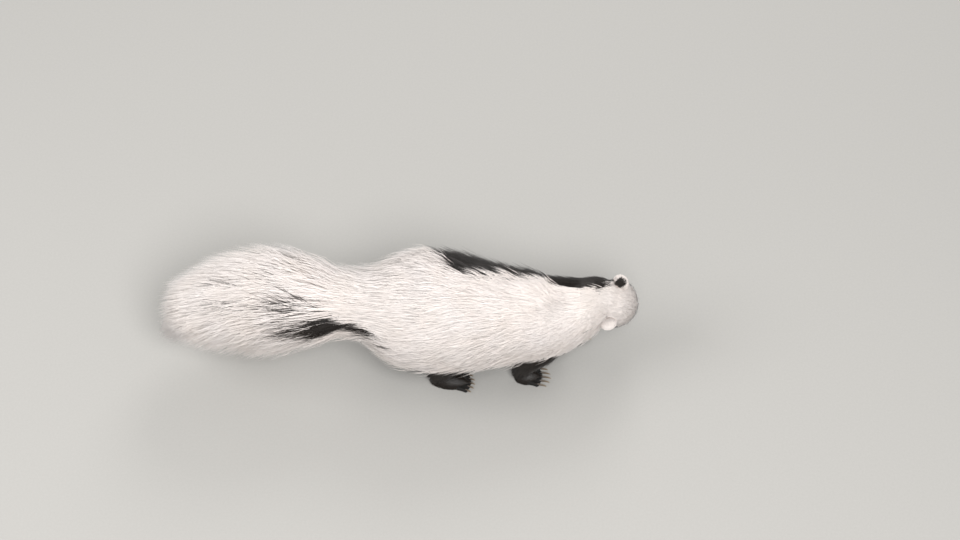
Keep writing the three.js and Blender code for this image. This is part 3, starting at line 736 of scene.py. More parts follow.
def coat_piece(name, grown, unwrap, colour):
    """One mesh of white or black tufts with their attributes and their OFBake map."""
    if len(grown["faces"]) > MOST_TRIANGLES:
        raise RuntimeError(f"{name} has {len(grown['faces'])} triangles")
    obj = piece(name, grown["points"], grown["faces"], f"{colour}_guard_hair", grown["normals"])
    mesh = obj.data
    put(mesh, reach=grown["reach"], tone=grown["tone"])
    flat = unwrap[grown["tuft"]] + np.stack([grown["across"], grown["reach"] - 0.5], -1) * PATCH
    uv = mesh.uv_layers.new(name="OFBake")
    corners = np.empty(len(mesh.loops), np.int32)
    mesh.loops.foreach_get("vertex_index", corners)
    uv.data.foreach_set("uv", flat[corners].astype(np.float32).ravel())
    settle(obj, f"{colour}_coat")


def pick(values, keep):
    return {k: (x[keep] if isinstance(x, np.ndarray) else x) for k, x in values.items()}


def coat_pair(name, place, u, v, tuft, white, unwrap, rng):
    """The white and the black tufts of one stretch, each as its own piece."""
    for colour, mask in (("white", white), ("black", ~white)):
        if mask.any():
            own = pick(tuft, mask) | ({"steps": 3} if colour == "black" else {})
            grown = grow_tufts(place, u[mask], v[mask], own, rng)
            coat_piece(f"{name}_{colour}", grown, unwrap[mask], colour)


def unwrapped(u, v, u_range, v_range=(-math.pi, math.pi)):
    """Where each tuft lies on the coat's square map."""
    shares = [(x - low) / (high - low) for x, (low, high) in ((u, u_range), (v, v_range))]
    return 0.01 + 0.98 * np.stack(shares, -1)


def skin_bvh(with_ears=True):
    skin = bpy.data.objects.get("skin")
    if skin is None:
        raise RuntimeError("make the skin before the coat")
    faces = [p.vertices for p in skin.data.polygons]
    if not with_ears:
        middles, _, _ = skin_faces()
        ears = near_ears(middles, 12) & (to_head(middles)[:, 0] < 2)
        faces = [face for face, on_ear in zip(faces, ears) if not on_ear]
    return BVHTree.FromPolygons([v.co for v in skin.data.vertices], faces)


def skin_faces():
    """The skin's faces as middles in the tables' frame, ways out and areas."""
    mesh = bpy.data.objects["skin"].data
    count = len(mesh.polygons)
    middle, normal, area = np.empty(count * 3), np.empty(count * 3), np.empty(count)
    mesh.polygons.foreach_get("center", middle)
    mesh.polygons.foreach_get("normal", normal)
    mesh.polygons.foreach_get("area", area)
    return middle.reshape(-1, 3) / MM + MIDDLE, normal.reshape(-1, 3), area


def on_surface(bvh, root, way, aside, out):
    """A place function that follows the skin from each root, in millimetres along a way and to its side."""
    def place(u, v, height):
        guess = root + way * col(u) + aside * col(v)
        flat = guess.reshape(-1, 3)
        found, up = np.empty_like(flat), np.empty_like(flat)
        for i, p in enumerate((flat - MIDDLE) * MM):
            found[i], up[i], _, _ = bvh.find_nearest(Vector(p))
        up = unit(up.reshape(guess.shape) + 0.7 * out)
        return (found / MM + MIDDLE).reshape(guess.shape) + up * col(height), up
    return place


# What a user can change

class SkunkLook(bpy.types.PropertyGroup):
    """Colours and densities of the model."""

    white: bpy.props.FloatVectorProperty(
        name="White coat", description="Colour of the white guard hair", subtype="COLOR", size=4,
        default=linear("#f1e8e5"))
    black: bpy.props.FloatVectorProperty(
        name="Black coat", description="Colour of the black guard hair", subtype="COLOR", size=4,
        default=linear("#181411"))
    floor: bpy.props.FloatVectorProperty(
        name="Floor", description="Colour of the paper under the animal", subtype="COLOR", size=4,
        default=linear("#aeaca8"))
    density: bpy.props.FloatProperty(
        name="Density", description="Share of the full number of tufts", default=1.0, min=0.05, max=1.0,
        subtype="FACTOR")
    hair: bpy.props.FloatProperty(
        name="Hair width", description="Width of one long guard hair", default=0.00095, unit="LENGTH")
    voxel: bpy.props.FloatProperty(
        name="Skin detail", description="Size of the grid that joins the skin", default=0.0014, unit="LENGTH")


class SkunkStage(bpy.types.PropertyGroup):
    """The camera and the light."""

    elevation: bpy.props.FloatProperty(
        name="Camera elevation", description="How high the camera looks down from", default=math.radians(55),
        subtype="ANGLE")
    distance: bpy.props.FloatProperty(
        name="Camera distance", description="From the lens to the animal's middle", default=3.17,
        unit="LENGTH")
    lens: bpy.props.FloatProperty(
        name="Focal length", description="Focal length on a 36 mm wide sensor", default=85.0, unit="CAMERA")
    light: bpy.props.FloatProperty(
        name="Light", description="Power of the large soft light", default=80.0, unit="POWER")


# The pieces

# A limb's skin is this much wider than it is round, and this much shallower.
LIMB_WIDE, LIMB_DEEP = 1.12, 0.9
# How far the ear's skin lies inside its outline, to leave room for its fur.
EAR_FUR = 0.6


def limb_place(line, t, turn, height):
    """Points over a limb's skin, which is a little flattened, and the way out of it there."""
    centre, side, other, radius, fur = limb_frame(line, t)
    bare, s, c = radius - fur, np.sin(turn), np.cos(turn)
    points = (centre + side * col(c * (bare * LIMB_WIDE + height))
              + other * col(s * (bare * LIMB_DEEP + height)))
    return points, side * col(c) + other * col(s)


def skin_shapes():
    """Every closed form that the one skin is joined from."""
    at, turn = grid(np.linspace(TRUNK_REAR, TRUNK_FRONT, 60), 72)
    parts = [loft(trunk_place(at, turn, np.zeros_like(at))[0])]
    at, turn = grid(np.linspace(-12, TAIL_BONE_END, 50), 32)
    parts.append(loft(tail_place(at, turn, along(TAIL_FLESH, 1, at))[0]))
    at, turn = grid(np.linspace(-25, 67.5, 56), 72)
    parts.append(loft(head_place(at, turn, np.zeros_like(at))[0]))
    parts += [ear_shell(side) for side in (-1, 1)]
    for leg, (_, _, line) in LEGS.items():
        t, turn = grid(np.linspace(0, 1, 24), 36)
        parts.append(loft(limb_place(line, t, turn, 0)[0]))
        parts += foot_shapes(leg)
    return parts


def ear_shell(side):
    """One round ear as a cupped sheet with a rolled rim, thicker in its middle."""
    centre, across, upright, opening = ear_frame(side)
    reach, turn = grid(np.linspace(0.12, 1, 9), 32)
    sideways = reach * np.cos(turn) * (EAR["wide"] - EAR_FUR)
    up = reach * np.sin(turn) * (EAR["tall"] - EAR_FUR)
    front = centre + across * col(sideways) + upright * col(up) + opening * col(ear_cup(reach) + 1.0)
    back = front - opening * np.linspace(2.4, 2.0, 9)[:, None, None]
    points, faces = loft(np.concatenate([front, back[::-1]]))
    return from_head(points), faces


def foot_form(leg):
    """A foot's sizes, where it stands, its axes, and the middle and half sizes of its rounded body."""
    size = FEET[LEGS[leg][0]]
    middle = np.array([(size["front"] - size["back"]) / 2, 0, size["high"] * 0.22])
    half = np.array([(size["front"] + size["back"]) / 2, size["wide"] - 0.9, size["high"] * 0.75 - 1.0])
    return size, *foot_axes(leg), middle, half


def foot_shapes(leg):
    """The sole, the ankle and five toes of one foot, a little inside the fur's level."""
    size, origin, axes, middle, half = foot_form(leg)
    points, faces = egg(half - np.array([0.8, 0, 0]))
    shapes = [(points + middle, faces)]
    shapes.append(tube([[0, 0, 3], [0, 0, WRIST + 6]], [9.3, 9.0], 24))
    fat = size["toe"]
    t = np.linspace(0, 3, 14)
    radii = np.interp(t, [0, 1, 1.6, 2.2, 3], [fat, fat * 0.9, fat * 0.82, fat * 0.98, fat * 0.45])
    for i in range(TOES):
        start, end, _ = toe_ends(size, i)
        line = [start, (start + end) / 2 + np.array([0, 0, 0.7]), end, end + np.array([fat * 0.7, 0, -0.4])]
        centres = np.stack([np.interp(t, range(4), [p[k] for p in line]) for k in range(3)], -1)
        shapes.append(tube(centres, radii, 16, 0.92))
    return [(lifted(points, 0.5) @ axes + origin, faces) for points, faces in shapes]


def lifted(points, least):
    """The points, with none of them lower than that."""
    points = points.copy()
    points[..., 2] = np.maximum(points[..., 2], least)
    return points


def toe_ends(size, i):
    """Where a toe starts and ends in the foot's own frame, and how far its claw is drawn out."""
    spread = i / (TOES - 1) - 0.5
    start = np.array([size["front"] - size["reach"], spread * size["wide"] * 1.6, 4.4])
    end = np.array([start[0] + size["reach"] * (1.3 - 1.1 * spread ** 2), spread * size["wide"] * 2, 3.4])
    return start, end, size["claw"] * (1 - 0.5 * spread ** 2)


def face_folds(points):
    """Moves the head's skin in and out: sockets, brows, lip line, whisker pads and the nose's wings."""
    local = to_head(points)
    at = local[:, 0]
    near = (at > 14) & (at < 74) & (np.abs(local[:, 1]) < 34) & (np.abs(local[:, 2]) < 34)
    part = local[near]
    middle = (along(SKULL, 2, part[:, 0]) + along(SKULL, 3, part[:, 0])) / 2
    turn = np.arctan2(part[:, 1], part[:, 2] - middle)
    out = skull_normal(np.clip(part[:, 0], 14, 67), turn)
    move = np.zeros(len(part))
    for side in (-1, 1):
        centre, _, _, axis = eye_frame(side)
        far = np.linalg.norm(part - (centre + axis * 3.2), axis=1)
        move -= 1.5 * np.exp(-(far / 5.0) ** 2)
        move += 0.75 * np.exp(-((far - 8.0) / 2.2) ** 2)
        pad = part - np.array([56, side * 9.0, -8.0])
        move += 1.3 * np.exp(-((pad / np.array([8, 5, 4.5])) ** 2).sum(1))
        wing = part - np.array([65, side * 6.5, -3.0])
        move += 0.6 * np.exp(-((wing / 3) ** 2).sum(1))
    lip = MOUTH["up"] - 0.05 * (part[:, 0] - MOUTH["corner"])
    along_mouth = smoothstep(part[:, 0], MOUTH["corner"] - 2, MOUTH["corner"] + 3)
    move -= 1.35 * along_mouth * np.exp(-((part[:, 2] - lip) / 0.9) ** 2)
    move += 0.45 * along_mouth * np.exp(-((part[:, 2] - lip + 2.0) / 1.2) ** 2)
    chin = smoothstep(part[:, 0], 59, 66) * smoothstep(-part[:, 2], 10, 12)
    local[near] = part + out * col(move) - np.array([3.4, 0, 0]) * col(chin)
    return from_head(local)


def skin_fields(points):
    """Each point's marking, how bare it is, and its place along and across the hair's lie."""
    local = to_head(points)
    at, middle = local[:, 0], (along(SKULL, 2, local[:, 0]) + along(SKULL, 3, local[:, 0])) / 2
    high = (along(SKULL, 2, at) - along(SKULL, 3, at)) / 2
    inside = np.hypot(local[:, 1] / along(SKULL, 1, at).clip(3), (local[:, 2] - middle) / high.clip(3))
    ears, facing = np.zeros(len(points), bool), np.zeros(len(points), bool)
    for side in (-1, 1):
        centre, _, upright, opening = ear_frame(side)
        off = local - centre
        reach = np.linalg.norm(off, axis=1)
        ears |= (reach < 13) & (off @ upright > -5) & (inside > 0.98)
        facing |= (off @ opening > ear_cup(reach / EAR["tall"]) - 0.3) & (reach < 9.5)
    head = (at > -24) & (inside < 1.08) & ~ears
    place = points[:, 0]
    centre, left, up = trunk_frame(place)
    off = points - centre
    held = place.clip(TRUNK_REAR)
    a, b = (off * left).sum(1) / along(TRUNK, 3, held), (off * up).sum(1) / along(TRUNK, 4, held)
    legs = (np.hypot(a, b) > 1.03) & (points[:, 2] < 92) & (place > TRUNK_REAR)
    marking = np.where(legs, 0.0, trunk_marking(place, np.arctan2(a, b)))
    tail = TAIL[0, 1] - place
    tail_turn = np.arctan2(points[:, 1] - along(TAIL, 2, tail), points[:, 2] - along(TAIL, 3, tail))
    marking = np.where(place < TRUNK_REAR, tail_marking(tail, tail_turn), marking)
    marking = np.where(head, head_marking(at, np.arctan2(local[:, 1], local[:, 2] - middle)), marking)
    marking = np.where(ears, np.where(facing, 0.0, 0.6), marking)
    lie = np.where(col(head | ears), local, np.where(col(legs), points[:, [2, 0, 1]], points))
    return marking, smoothstep(-points[:, 2], -4.0, -1.2), lie


class SKUNK_OT_skin(bpy.types.Operator):
    """Joins trunk, tail, head, ears, legs and feet into one skin, with the face's folds and the markings"""

    bl_idname = "skunk.skin"
    bl_label = "Skin"

    def execute(self, context):
        rough = piece("skin_rough", *gather(skin_shapes()))
        remesh = rough.modifiers.new("Join", "REMESH")
        remesh.mode = "VOXEL"
        remesh.voxel_size = context.scene.skunk_look.voxel
        smooth = rough.modifiers.new("Ease", "SMOOTH")
        smooth.factor = 0.5
        smooth.iterations = 5
        mesh = bpy.data.meshes.new_from_object(rough.evaluated_get(context.evaluated_depsgraph_get()))
        old = rough.data
        bpy.data.objects.remove(rough)
        bpy.data.meshes.remove(old)
        if len(mesh.vertices) < 10000:
            raise RuntimeError("the skin did not join")
        self.refine(mesh)
        co = np.empty(len(mesh.vertices) * 3, np.float32)
        mesh.vertices.foreach_get("co", co)
        body = lifted(face_folds(co.reshape(-1, 3) / MM + MIDDLE), 0.0)
        mesh.vertices.foreach_set("co", ((body - MIDDLE) * MM).astype(np.float32).ravel())
        marking, bare, lie = skin_fields(body)
        put(mesh, marking=marking, bare=bare, lie=lie)
        mesh.name = "skin"
        mesh.shade_smooth()
        mesh.materials.clear()
        mesh.materials.append(finish_of("short_haired_hide"))
        skin = bpy.data.objects.new("skin", mesh)
        context.scene.collection.objects.link(skin)
        feet = [leg.replace("leg", "foot") for leg in LEGS]
        settle(skin, "black_coat", "torso", "neck", "tail", "head", "ear_left", "ear_right", *LEGS, *feet)
        return {"FINISHED"}

    @staticmethod
    def refine(mesh):
        """Eases the neck's joint behind the head, and splits the face's edges so that its folds are fine."""
        bm = bmesh.new()
        bm.from_mesh(mesh)
        co = np.array([v.co for v in bm.verts]) / MM + MIDDLE
        ahead = to_head(co)
        fine = (ahead[:, 0] > 20) & (np.abs(ahead[:, 1]) < 32) & (np.abs(ahead[:, 2]) < 32)
        bm.edges.ensure_lookup_table()
        chosen = [e for e in bm.edges if fine[e.verts[0].index] and fine[e.verts[1].index]]
        joint = (co[:, 0] > 262) & (ahead[:, 0] < 2) & (co[:, 2] > 84) & ~near_ears(co, 13)
        bm.verts.ensure_lookup_table()
        soft = [bm.verts[i] for i in np.flatnonzero(joint)]
        every_way = {"use_axis_x": True, "use_axis_y": True, "use_axis_z": True}
        for _ in range(40):
            bmesh.ops.smooth_vert(bm, verts=soft, factor=0.5, **every_way)
        bmesh.ops.subdivide_edges(bm, edges=chosen, cuts=1, use_grid_fill=True)
        bmesh.ops.triangulate(bm, faces=bm.faces)
        bm.to_mesh(mesh)
        bm.free()


def eyeball(side):
    """A ball with a cornea that bulges a little."""
    centre, ahead, across, out = eye_frame(side)
    theta, phi = grid(np.concatenate([np.linspace(0.02, 1.0, 16), np.linspace(1.1, math.pi - 0.05, 14)]), 32)
    bulge = EYE["radius"] * (1 + 0.05 * np.exp(-(theta / 0.55) ** 2))
    points, faces = loft(
        centre + ahead * col(np.sin(theta) * np.cos(phi) * bulge)
        + across * col(np.sin(theta) * np.sin(phi) * bulge) + out * col(np.cos(theta) * bulge)
    )
    return from_head(points), faces, theta.ravel() / 1.5


def eyelids(side):
    """A soft almond rim that hugs the ball, thicker above, and drawn out at the inner corner."""
    centre, ahead, across, out = eye_frame(side)
    turn, b = grid(np.linspace(0, 2 * math.pi, 48, endpoint=False), 12)
    upper = np.sin(turn) > 0
    x = 3.9 * np.cos(turn) * (1 + 0.16 * np.maximum(0, np.cos(turn)) ** 3)
    y = np.where(upper, 3.0, 2.6) * np.sin(turn)
    reach = np.hypot(x, y)
    radial = (ahead * col(x) - across * side * col(y)) / col(reach)
    rise = np.sqrt(np.maximum(EYE["radius"] ** 2 - reach ** 2, 0.3))
    thick = np.where(upper, 0.85, 0.65)
    points, faces = loft(
        centre + radial * col(reach + 0.55 + np.cos(b) * thick * 1.35)
        + out * col(rise + 0.1 + np.sin(b) * thick * 0.8 - 0.45 * (1 + np.cos(b))), closed=True
    )
    return from_head(points), faces


class SKUNK_OT_eyes(bpy.types.Operator):
    """Makes the two eyeballs and the lids round them"""

    bl_idname = "skunk.eyes"
    bl_label = "Eyes and lids"

    def execute(self, context):
        for name, side in (("left", 1), ("right", -1)):
            points, faces, reach = eyeball(side)
            ball = piece(f"eyeball_{name}", points, faces, "wet_dark_eye")
            put(ball.data, reach=reach)
            settle(ball, "eye", f"eye_{name}")
            settle(piece(f"eyelids_{name}", *eyelids(side), "bare_lid_skin"), "nose_skin")
        return {"FINISHED"}


def nose_pad():
    """A rounded nose pad with two comma nostrils and a groove down its middle."""
    half = np.array([NOSE["long"], NOSE["wide"], NOSE["high"]])
    points, faces = egg(half[::-1], 64, 44)
    points = points[:, ::-1]
    x, y, z = points.T
    move = np.zeros(len(points))
    for side in (-1, 1):
        hole = np.hypot((y - side * NOSE["apart"]) / 1.7, (z + 0.8) / 1.35)
        slit = np.hypot((y - side * (NOSE["apart"] + 1.7)) / 1.9, (z + 1.6) / 0.7)
        move -= smoothstep(x, 0.5, 2.0) * (2.6 * np.exp(-hole ** 4) + 1.1 * np.exp(-slit ** 2))
        move += smoothstep(x, 0, 2) * 0.45 * np.exp(-((hole - 1.7) / 0.5) ** 2)
    groove = np.exp(-(y / 0.55) ** 2) * smoothstep(x, -1, 2) * smoothstep(-z, -1.5, 1)
    points = points + unit(points / half ** 2) * col(move - 0.8 * groove)
    return from_head(points + np.array([NOSE["at"], 0, NOSE["up"]])), faces


class SKUNK_OT_nose(bpy.types.Operator):
    """Makes the bare nose with its nostrils"""

    bl_idname = "skunk.nose"
    bl_label = "Nose"

    def execute(self, context):
        settle(piece("nose_pad", *nose_pad(), "moist_nose_leather"), "nose_skin", "nose")
        return {"FINISHED"}


def claws(leg):
    """The five curved claws of one foot, with how far along its claw each point lies."""
    size = FEET[LEGS[leg][0]]
    origin, axes = foot_axes(leg)
    t = np.linspace(-0.12, 1, 12)
    held = np.maximum(t, 0)
    radii = 1.85 * (1 - held) ** 0.8 + 0.3
    parts = []
    for i in range(TOES):
        _, end, drawn = toe_ends(size, i)
        centres = [end[0] + drawn * np.sin(t * 1.35), end[1] * (1 + 0.05 * t), 4.8 - 3.8 * held ** 2]
        points, faces = tube(np.stack(centres, -1), radii, 12, 0.62)
        parts.append((lifted(points, 0.25) @ axes + origin, faces))
    return *gather(parts), np.tile(np.repeat(held, 12), TOES)


class SKUNK_OT_claws(bpy.types.Operator):
    """Makes the twenty claws, long on the forefeet for digging"""

    bl_idname = "skunk.claws"
    bl_label = "Claws"

    def execute(self, context):
        for leg in LEGS:
            points, faces, reach = claws(leg)
            made = piece(leg.replace("leg", "_claws"), points, faces, "worn_claw_horn")
            put(made.data, reach=reach)
            settle(made, "paw_skin")
        return {"FINISHED"}


class SKUNK_OT_trunk_coat(bpy.types.Operator):
    """Grows the long coat of the back, flanks, belly and neck"""

    bl_idname = "skunk.trunk_coat"
    bl_label = "Trunk's coat"

    stretches = (
        ("coat_rump", -60, 40), ("coat_loin", 40, 100), ("coat_back", 100, 165), ("coat_shoulder", 165, 300),
    )

    def execute(self, context):
        look = context.scene.skunk_look
        rng = np.random.default_rng(SEED)
        u_range, v_range = (TRUNK_REAR + 2, NECK_COAT_END), (-math.pi, math.pi)

        def weight(u, v):
            size = along(TRUNK, 3, u) + along(TRUNK, 4, u)
            return size * (0.55 + 0.75 * trunk_marking(u, v)) * (1 + 0.4 * smoothstep(u, 170, 240))

        u, v = spread_roots(int(6500 * look.density), u_range, v_range, weight, rng)
        keep = over_skin(trunk_place(u, v, np.zeros_like(u))[0], skin_bvh(), 2.5)
        u, v = u[keep], v[keep]
        n = len(u)
        long = np.interp(u, [-40, 20, 120, 200, 250, 280], [66, 62, 54, 42, 32, 20])
        tuft = {
            "long": long * (0.5 + 0.5 * belly_share(v)),
            "wide": look.hair / MM,
            "drift": 0.11 * np.sin(v) + 0.05 * rng.standard_normal(n),
            "tip": coat_depth(u, v) * (0.82 + 0.12 * rng.standard_normal(n)).clip(0.5, 1.08),
            "sunk": 1.0,
            "across": (along(TRUNK, 3, u) + along(TRUNK, 4, u)) / 2 + 8,
            "gather": (0.55 + 0.15 * rng.standard_normal(n)).clip(0.1, 0.9),
            "rise": 1.7,
            "hairs": 7,
            "steps": 4,
        }
        # Painted shade: the white hair over the shoulder is greyed in a soft patch, standing in for the shade
        # where the hair parts.
        across_part = np.degrees(v) + 12 - 0.5 * (u - 240)
        tuft["shade"] = 1 - 0.27 * np.exp(-((u - 240) / 20) ** 2 - (across_part / 13) ** 2)
        white = trunk_marking(u, v) > rng.random(n) * 0.5 + 0.25
        # The dark line from the tail's root onto the rump lies over the white, in narrow tufts.
        streak = ~white & (u < 30) & (np.abs(np.degrees(v) + 74) < 14)
        tuft["tip"] = np.where(streak, tuft["tip"] * 1.15, tuft["tip"])
        tuft["spread"] = np.where(streak, 3.5, 6.0)
        flat = unwrapped(u, v, u_range)
        for name, low, high in self.stretches:
            part = (u >= low) & (u < high)
            coat_pair(name, trunk_place, u[part], v[part], pick(tuft, part), white[part], flat[part], rng)
        return {"FINISHED"}


class SKUNK_OT_tail_coat(bpy.types.Operator):
    """Grows the tail's long plume"""

    bl_idname = "skunk.tail_coat"
    bl_label = "Tail's plume"

    @staticmethod
    def fullest(at):
        return along(TAIL, 4, np.minimum(at, TAIL_TIP))

    @staticmethod
    def end(turn):
        cut = TAIL_TRIM * (1 + np.cos(turn - math.radians(TRIM_TURN)))
        return TAIL_TIP - np.maximum(cut, TAIL_BLUNT)

    def grow(self, name, u, v, tuft, colour, rng):
        """One piece of the plume, whose hairs stand on the tail's flesh and are measured from its bone."""
        flesh = col(np.repeat(along(TAIL_FLESH, 1, u), tuft["hairs"]))
        own = tuft | {"lie": 1, "tip": along(TAIL_FLESH, 1, u)}
        grown = grow_tufts(lambda at, turn, height: tail_place(at, turn, height + flesh), u, v, own, rng)
        coat_piece(f"{name}_{colour}", grown, unwrapped(u, v, (-4, TAIL_BONE_END)), colour)

    def execute(self, context):
        look = context.scene.skunk_look
        rng = np.random.default_rng(SEED + 1)

        def weight(u, v):
            return 0.6 + 0.5 * smoothstep(u, 10, 90) + 0.5 * smoothstep(u, 180, 235)

        u, v = spread_roots(int(3200 * look.density), (-4, TAIL_BONE_END), (-math.pi, math.pi), weight, rng)
        n = len(u)
        end, inner = smoothstep(u, 190, 235), smoothstep(u, 90, 190)
        every = {"reach": self.fullest, "sunk": 0.8, "across": 26.0, "rise": 1.7, "steps": 4, "ragged": 9}
        tuft = every | {
            "long": (96 + 12 * rng.standard_normal(n)) * np.interp(u, [-4, 30, 235], [0.75, 1.0, 0.86]),
            "last": self.end(v) - 8 * rng.random(n) ** 2,
            "wide": look.hair / MM * 1.05,
            "drift": 0.06 * rng.standard_normal(n) + 0.05 * np.sin(v),
            "share": (1 - (0.5 + 0.35 * inner) * rng.random(n) ** (2.2 - 0.8 * inner)) * 0.94
            * (1 - end * rng.random(n) ** 0.8),
            "spread": 5.0,
            "gather": (0.25 + 0.2 * rng.standard_normal(n)).clip(-0.2, 0.8),
            "hairs": 7,
            "uneven": 0.05,
        }
        white = tail_marking(u, v) > rng.random(n) * 0.8 + 0.1
        tuft["share"] = np.where(white | (np.abs(v) > 2.4), tuft["share"], 0.91 + 0.06 * rng.random(n))
        tuft["long"] = np.where(white, tuft["long"], tuft["long"] * 0.86)
        # Dark hairs over the white: the spot itself, some that fan up and back from it, and a few behind.
        groups = []
        for count, places, turns, drifts, long in DARK_FAN:
            m = int(count * look.density)
            fanned = rng.random(m) ** 1.4
            groups.append(np.stack([
                places[0] + (places[1] - places[0]) * rng.random(m),
                turns[0] + (turns[1] - turns[0]) * fanned + 0.05 * rng.standard_normal(m),
                drifts[0] + (drifts[1] - drifts[0]) * fanned,
                long * (1 + 0.13 * rng.standard_normal(m)),
            ]))
        fan_u, fan_v, drift, long = np.concatenate(groups, 1)
        fan = every | {
            "long": long, "last": self.end(fan_v) - 8, "wide": look.hair / MM * 0.7, "drift": drift,
            "share": 0.97, "spread": 3.5, "gather": 0.6, "hairs": 5, "uneven": 0.03,
        }
        self.grow("plume_rays", fan_u, fan_v, fan, "black", rng)
        for name, low, high in (("plume_root", -10, 78), ("plume_middle", 78, 158), ("plume_end", 158, 300)):
            for colour, mask in (("white", white), ("black", ~white)):
                part = (u >= low) & (u < high) & mask
                if part.any():
                    self.grow(name, u[part], v[part], pick(tuft, part), colour, rng)
        return {"FINISHED"}


class SKUNK_OT_head_coat(bpy.types.Operator):
    """Grows the head's fur, shortest on the muzzle, with the ears' fringe and the whiskers"""

    bl_idname = "skunk.head_coat"
    bl_label = "Head's fur"

    def execute(self, context):
        look = context.scene.skunk_look
        rng = np.random.default_rng(SEED + 2)
        u_range, v_range = (-6, 65), (-math.pi, math.pi)

        def weight(u, v):
            return along(SKULL, 1, u) * (1 + 0.7 * smoothstep(u, 18, 45))

        u, v = spread_roots(int(2500 * look.density), u_range, v_range, weight, rng)
        points, _ = head_place(u, v, np.zeros_like(u))
        keep = over_skin(points, skin_bvh(), 2.2)
        long = np.interp(u, [-10, 4, 16, 26, 34, 42, 50, 65], [27, 25, 21, 16, 11, 7.5, 5.2, 3.2])
        tips, _ = head_place(u - long * 0.75, v, np.full(len(u), 1.5))
        for side in (-1, 1):
            centre, _, _, out = eye_frame(side)
            eye = from_head(centre + out * 3.5)
            keep &= np.linalg.norm(points - eye, axis=1) > 6.3
            keep &= np.linalg.norm(tips - eye, axis=1) > 5.2
        u, v, long = u[keep], v[keep], long[keep]
        n = len(u)
        halfway, _ = head_place(u - long * 0.5, v, np.full(n, 2.0))
        far, _ = head_place(u - long * 0.95, v, np.full(n, 3.0))
        under_ear = near_ears(halfway, 10.5) | near_ears(far, 10.5)
        long = np.where(under_ear, np.minimum(long, 9), long)
        tuft = {
            "long": long,
            "wide": np.interp(u, [0, 40, 65], [0.85, 0.55, 0.42]),
            "drift": 0.05 * rng.standard_normal(n),
            "tip": along(SKULL, 4, np.maximum(u - long * 0.7, NAPE)) * np.where(under_ear, 0.6, 0.92)
            + long * 0.02 * rng.standard_normal(n),
            "sunk": 0.5,
            "spread": np.interp(u, [-25, 30, 65], [4.2, 2.6, 1.8]),
            "across": (along(SKULL, 1, u) + 12).clip(12),
            "gather": (0.5 + 0.15 * rng.standard_normal(n)).clip(0.1, 0.9),
            "rise": 1.5,
            "hairs": 7,
            "steps": 3,
            # Painted shade: the head's hair is greyed a little, as the crown is less lit than the back.
            "shade": 0.94,
        }
        white = head_marking(u, v) > rng.random(n) * 0.4 + 0.3
        coat_pair("coat_head", head_place, u, v, tuft, white, unwrapped(u, v, u_range), rng)
        for name, side in (("left", 1), ("right", -1)):
            self.ear(name, side, rng)
        self.whiskers(rng)
        return {"FINISHED"}

    def ear(self, name, side, rng):
        """Fur up the back of an ear and white fur round its rim, with sparse black hair inside."""
        centre, across, upright, opening = ear_frame(side)
        wide, tall = EAR["wide"] - EAR_FUR, EAR["tall"] - EAR_FUR

        def sheet(up, sideways, height, facing, lift):
            reach = np.hypot(up / tall, sideways / wide)
            flat = across * col(sideways) + upright * col(up)
            out = unit(opening * facing + flat * col(-0.06 * facing * np.minimum(reach, 1)))
            points = centre + flat + opening * col(ear_cup(reach) + lift) + out * col(height)
            return from_head(points), out @ HEAD_AXES

        def back(up, sideways, height):
            return sheet(up, sideways, height, -1, -1.3)

        def inside(up, sideways, height):
            return sheet(up, sideways, height, 1, 1.1)

        def rim(reach, turn, height):
            return sheet(reach * np.sin(turn) * tall, reach * np.cos(turn) * wide, height, -1, 0.1)

        def flattened(up, sideways):
            return np.stack([0.5 + 0.45 * sideways / wide, 0.5 + 0.45 * up / tall], -1)

        def on_sheet(up, sideways):
            return np.hypot(up / tall, sideways / wide) < 0.97

        up, sideways = spread_roots(150, (-5, tall), (-wide, wide), on_sheet, rng)
        # Painted shade: all the ear's fur is greyed a little (shade 0.88), to darken it where it faces up
        # into the light.
        fur = {
            "shade": 0.88, "long": 5.5, "wide": 0.45, "drift": 0.0, "tip": 0.9, "sunk": 0.3, "spread": 1.3,
            "across": 1.0, "gather": 0.3, "rise": 1.4, "hairs": 6, "steps": 3, "lie": 1, "ragged": 1.2,
        }
        top = np.sqrt(np.maximum(1 - (sideways / wide) ** 2, 0)) * tall
        # Painted shade: the back of the ear is greyed more below its middle, where the ear meets the head.
        own = fur | {"last": top + 1.6, "shade": np.where(up < -1, 0.68, 0.88)}
        # On the left ear the middle of the back is black hair: painted shade of the ear's dark opening, put
        # on its back.
        outside_painted_opening = np.hypot(up / tall, sideways / wide) > EAR_PAINTED_OPENING_SHADE[name]
        coat_pair(f"fur_ear_{name}", back, up, sideways, own, outside_painted_opening, flattened(up, sideways), rng)

        turn = np.linspace(math.radians(-25), math.radians(205), 110)
        fringe = fur | {"long": 0.24, "tip": 0.3, "sunk": 0.2, "spread": 0.06, "last": 1.25, "ragged": 0.08}
        grown = grow_tufts(rim, np.full(110, 0.93), turn, fringe, rng)
        flat = np.stack([0.5 + 0.46 * np.cos(turn), 0.5 + 0.46 * np.sin(turn)], -1)
        coat_piece(f"fur_ear_rim_{name}", grown, flat, "white")

        up, sideways = spread_roots(60, (-5, 5), (-7, 7), lambda a, b: np.hypot(a / 6, b / 8) < 1, rng)
        sparse = fur | {"long": 5.0, "tip": 1.3, "hairs": 4, "last": 9.0}
        grown = grow_tufts(inside, up, sideways, sparse, rng)
        coat_piece(f"fur_ear_inside_{name}", grown, flattened(up, sideways), "black")

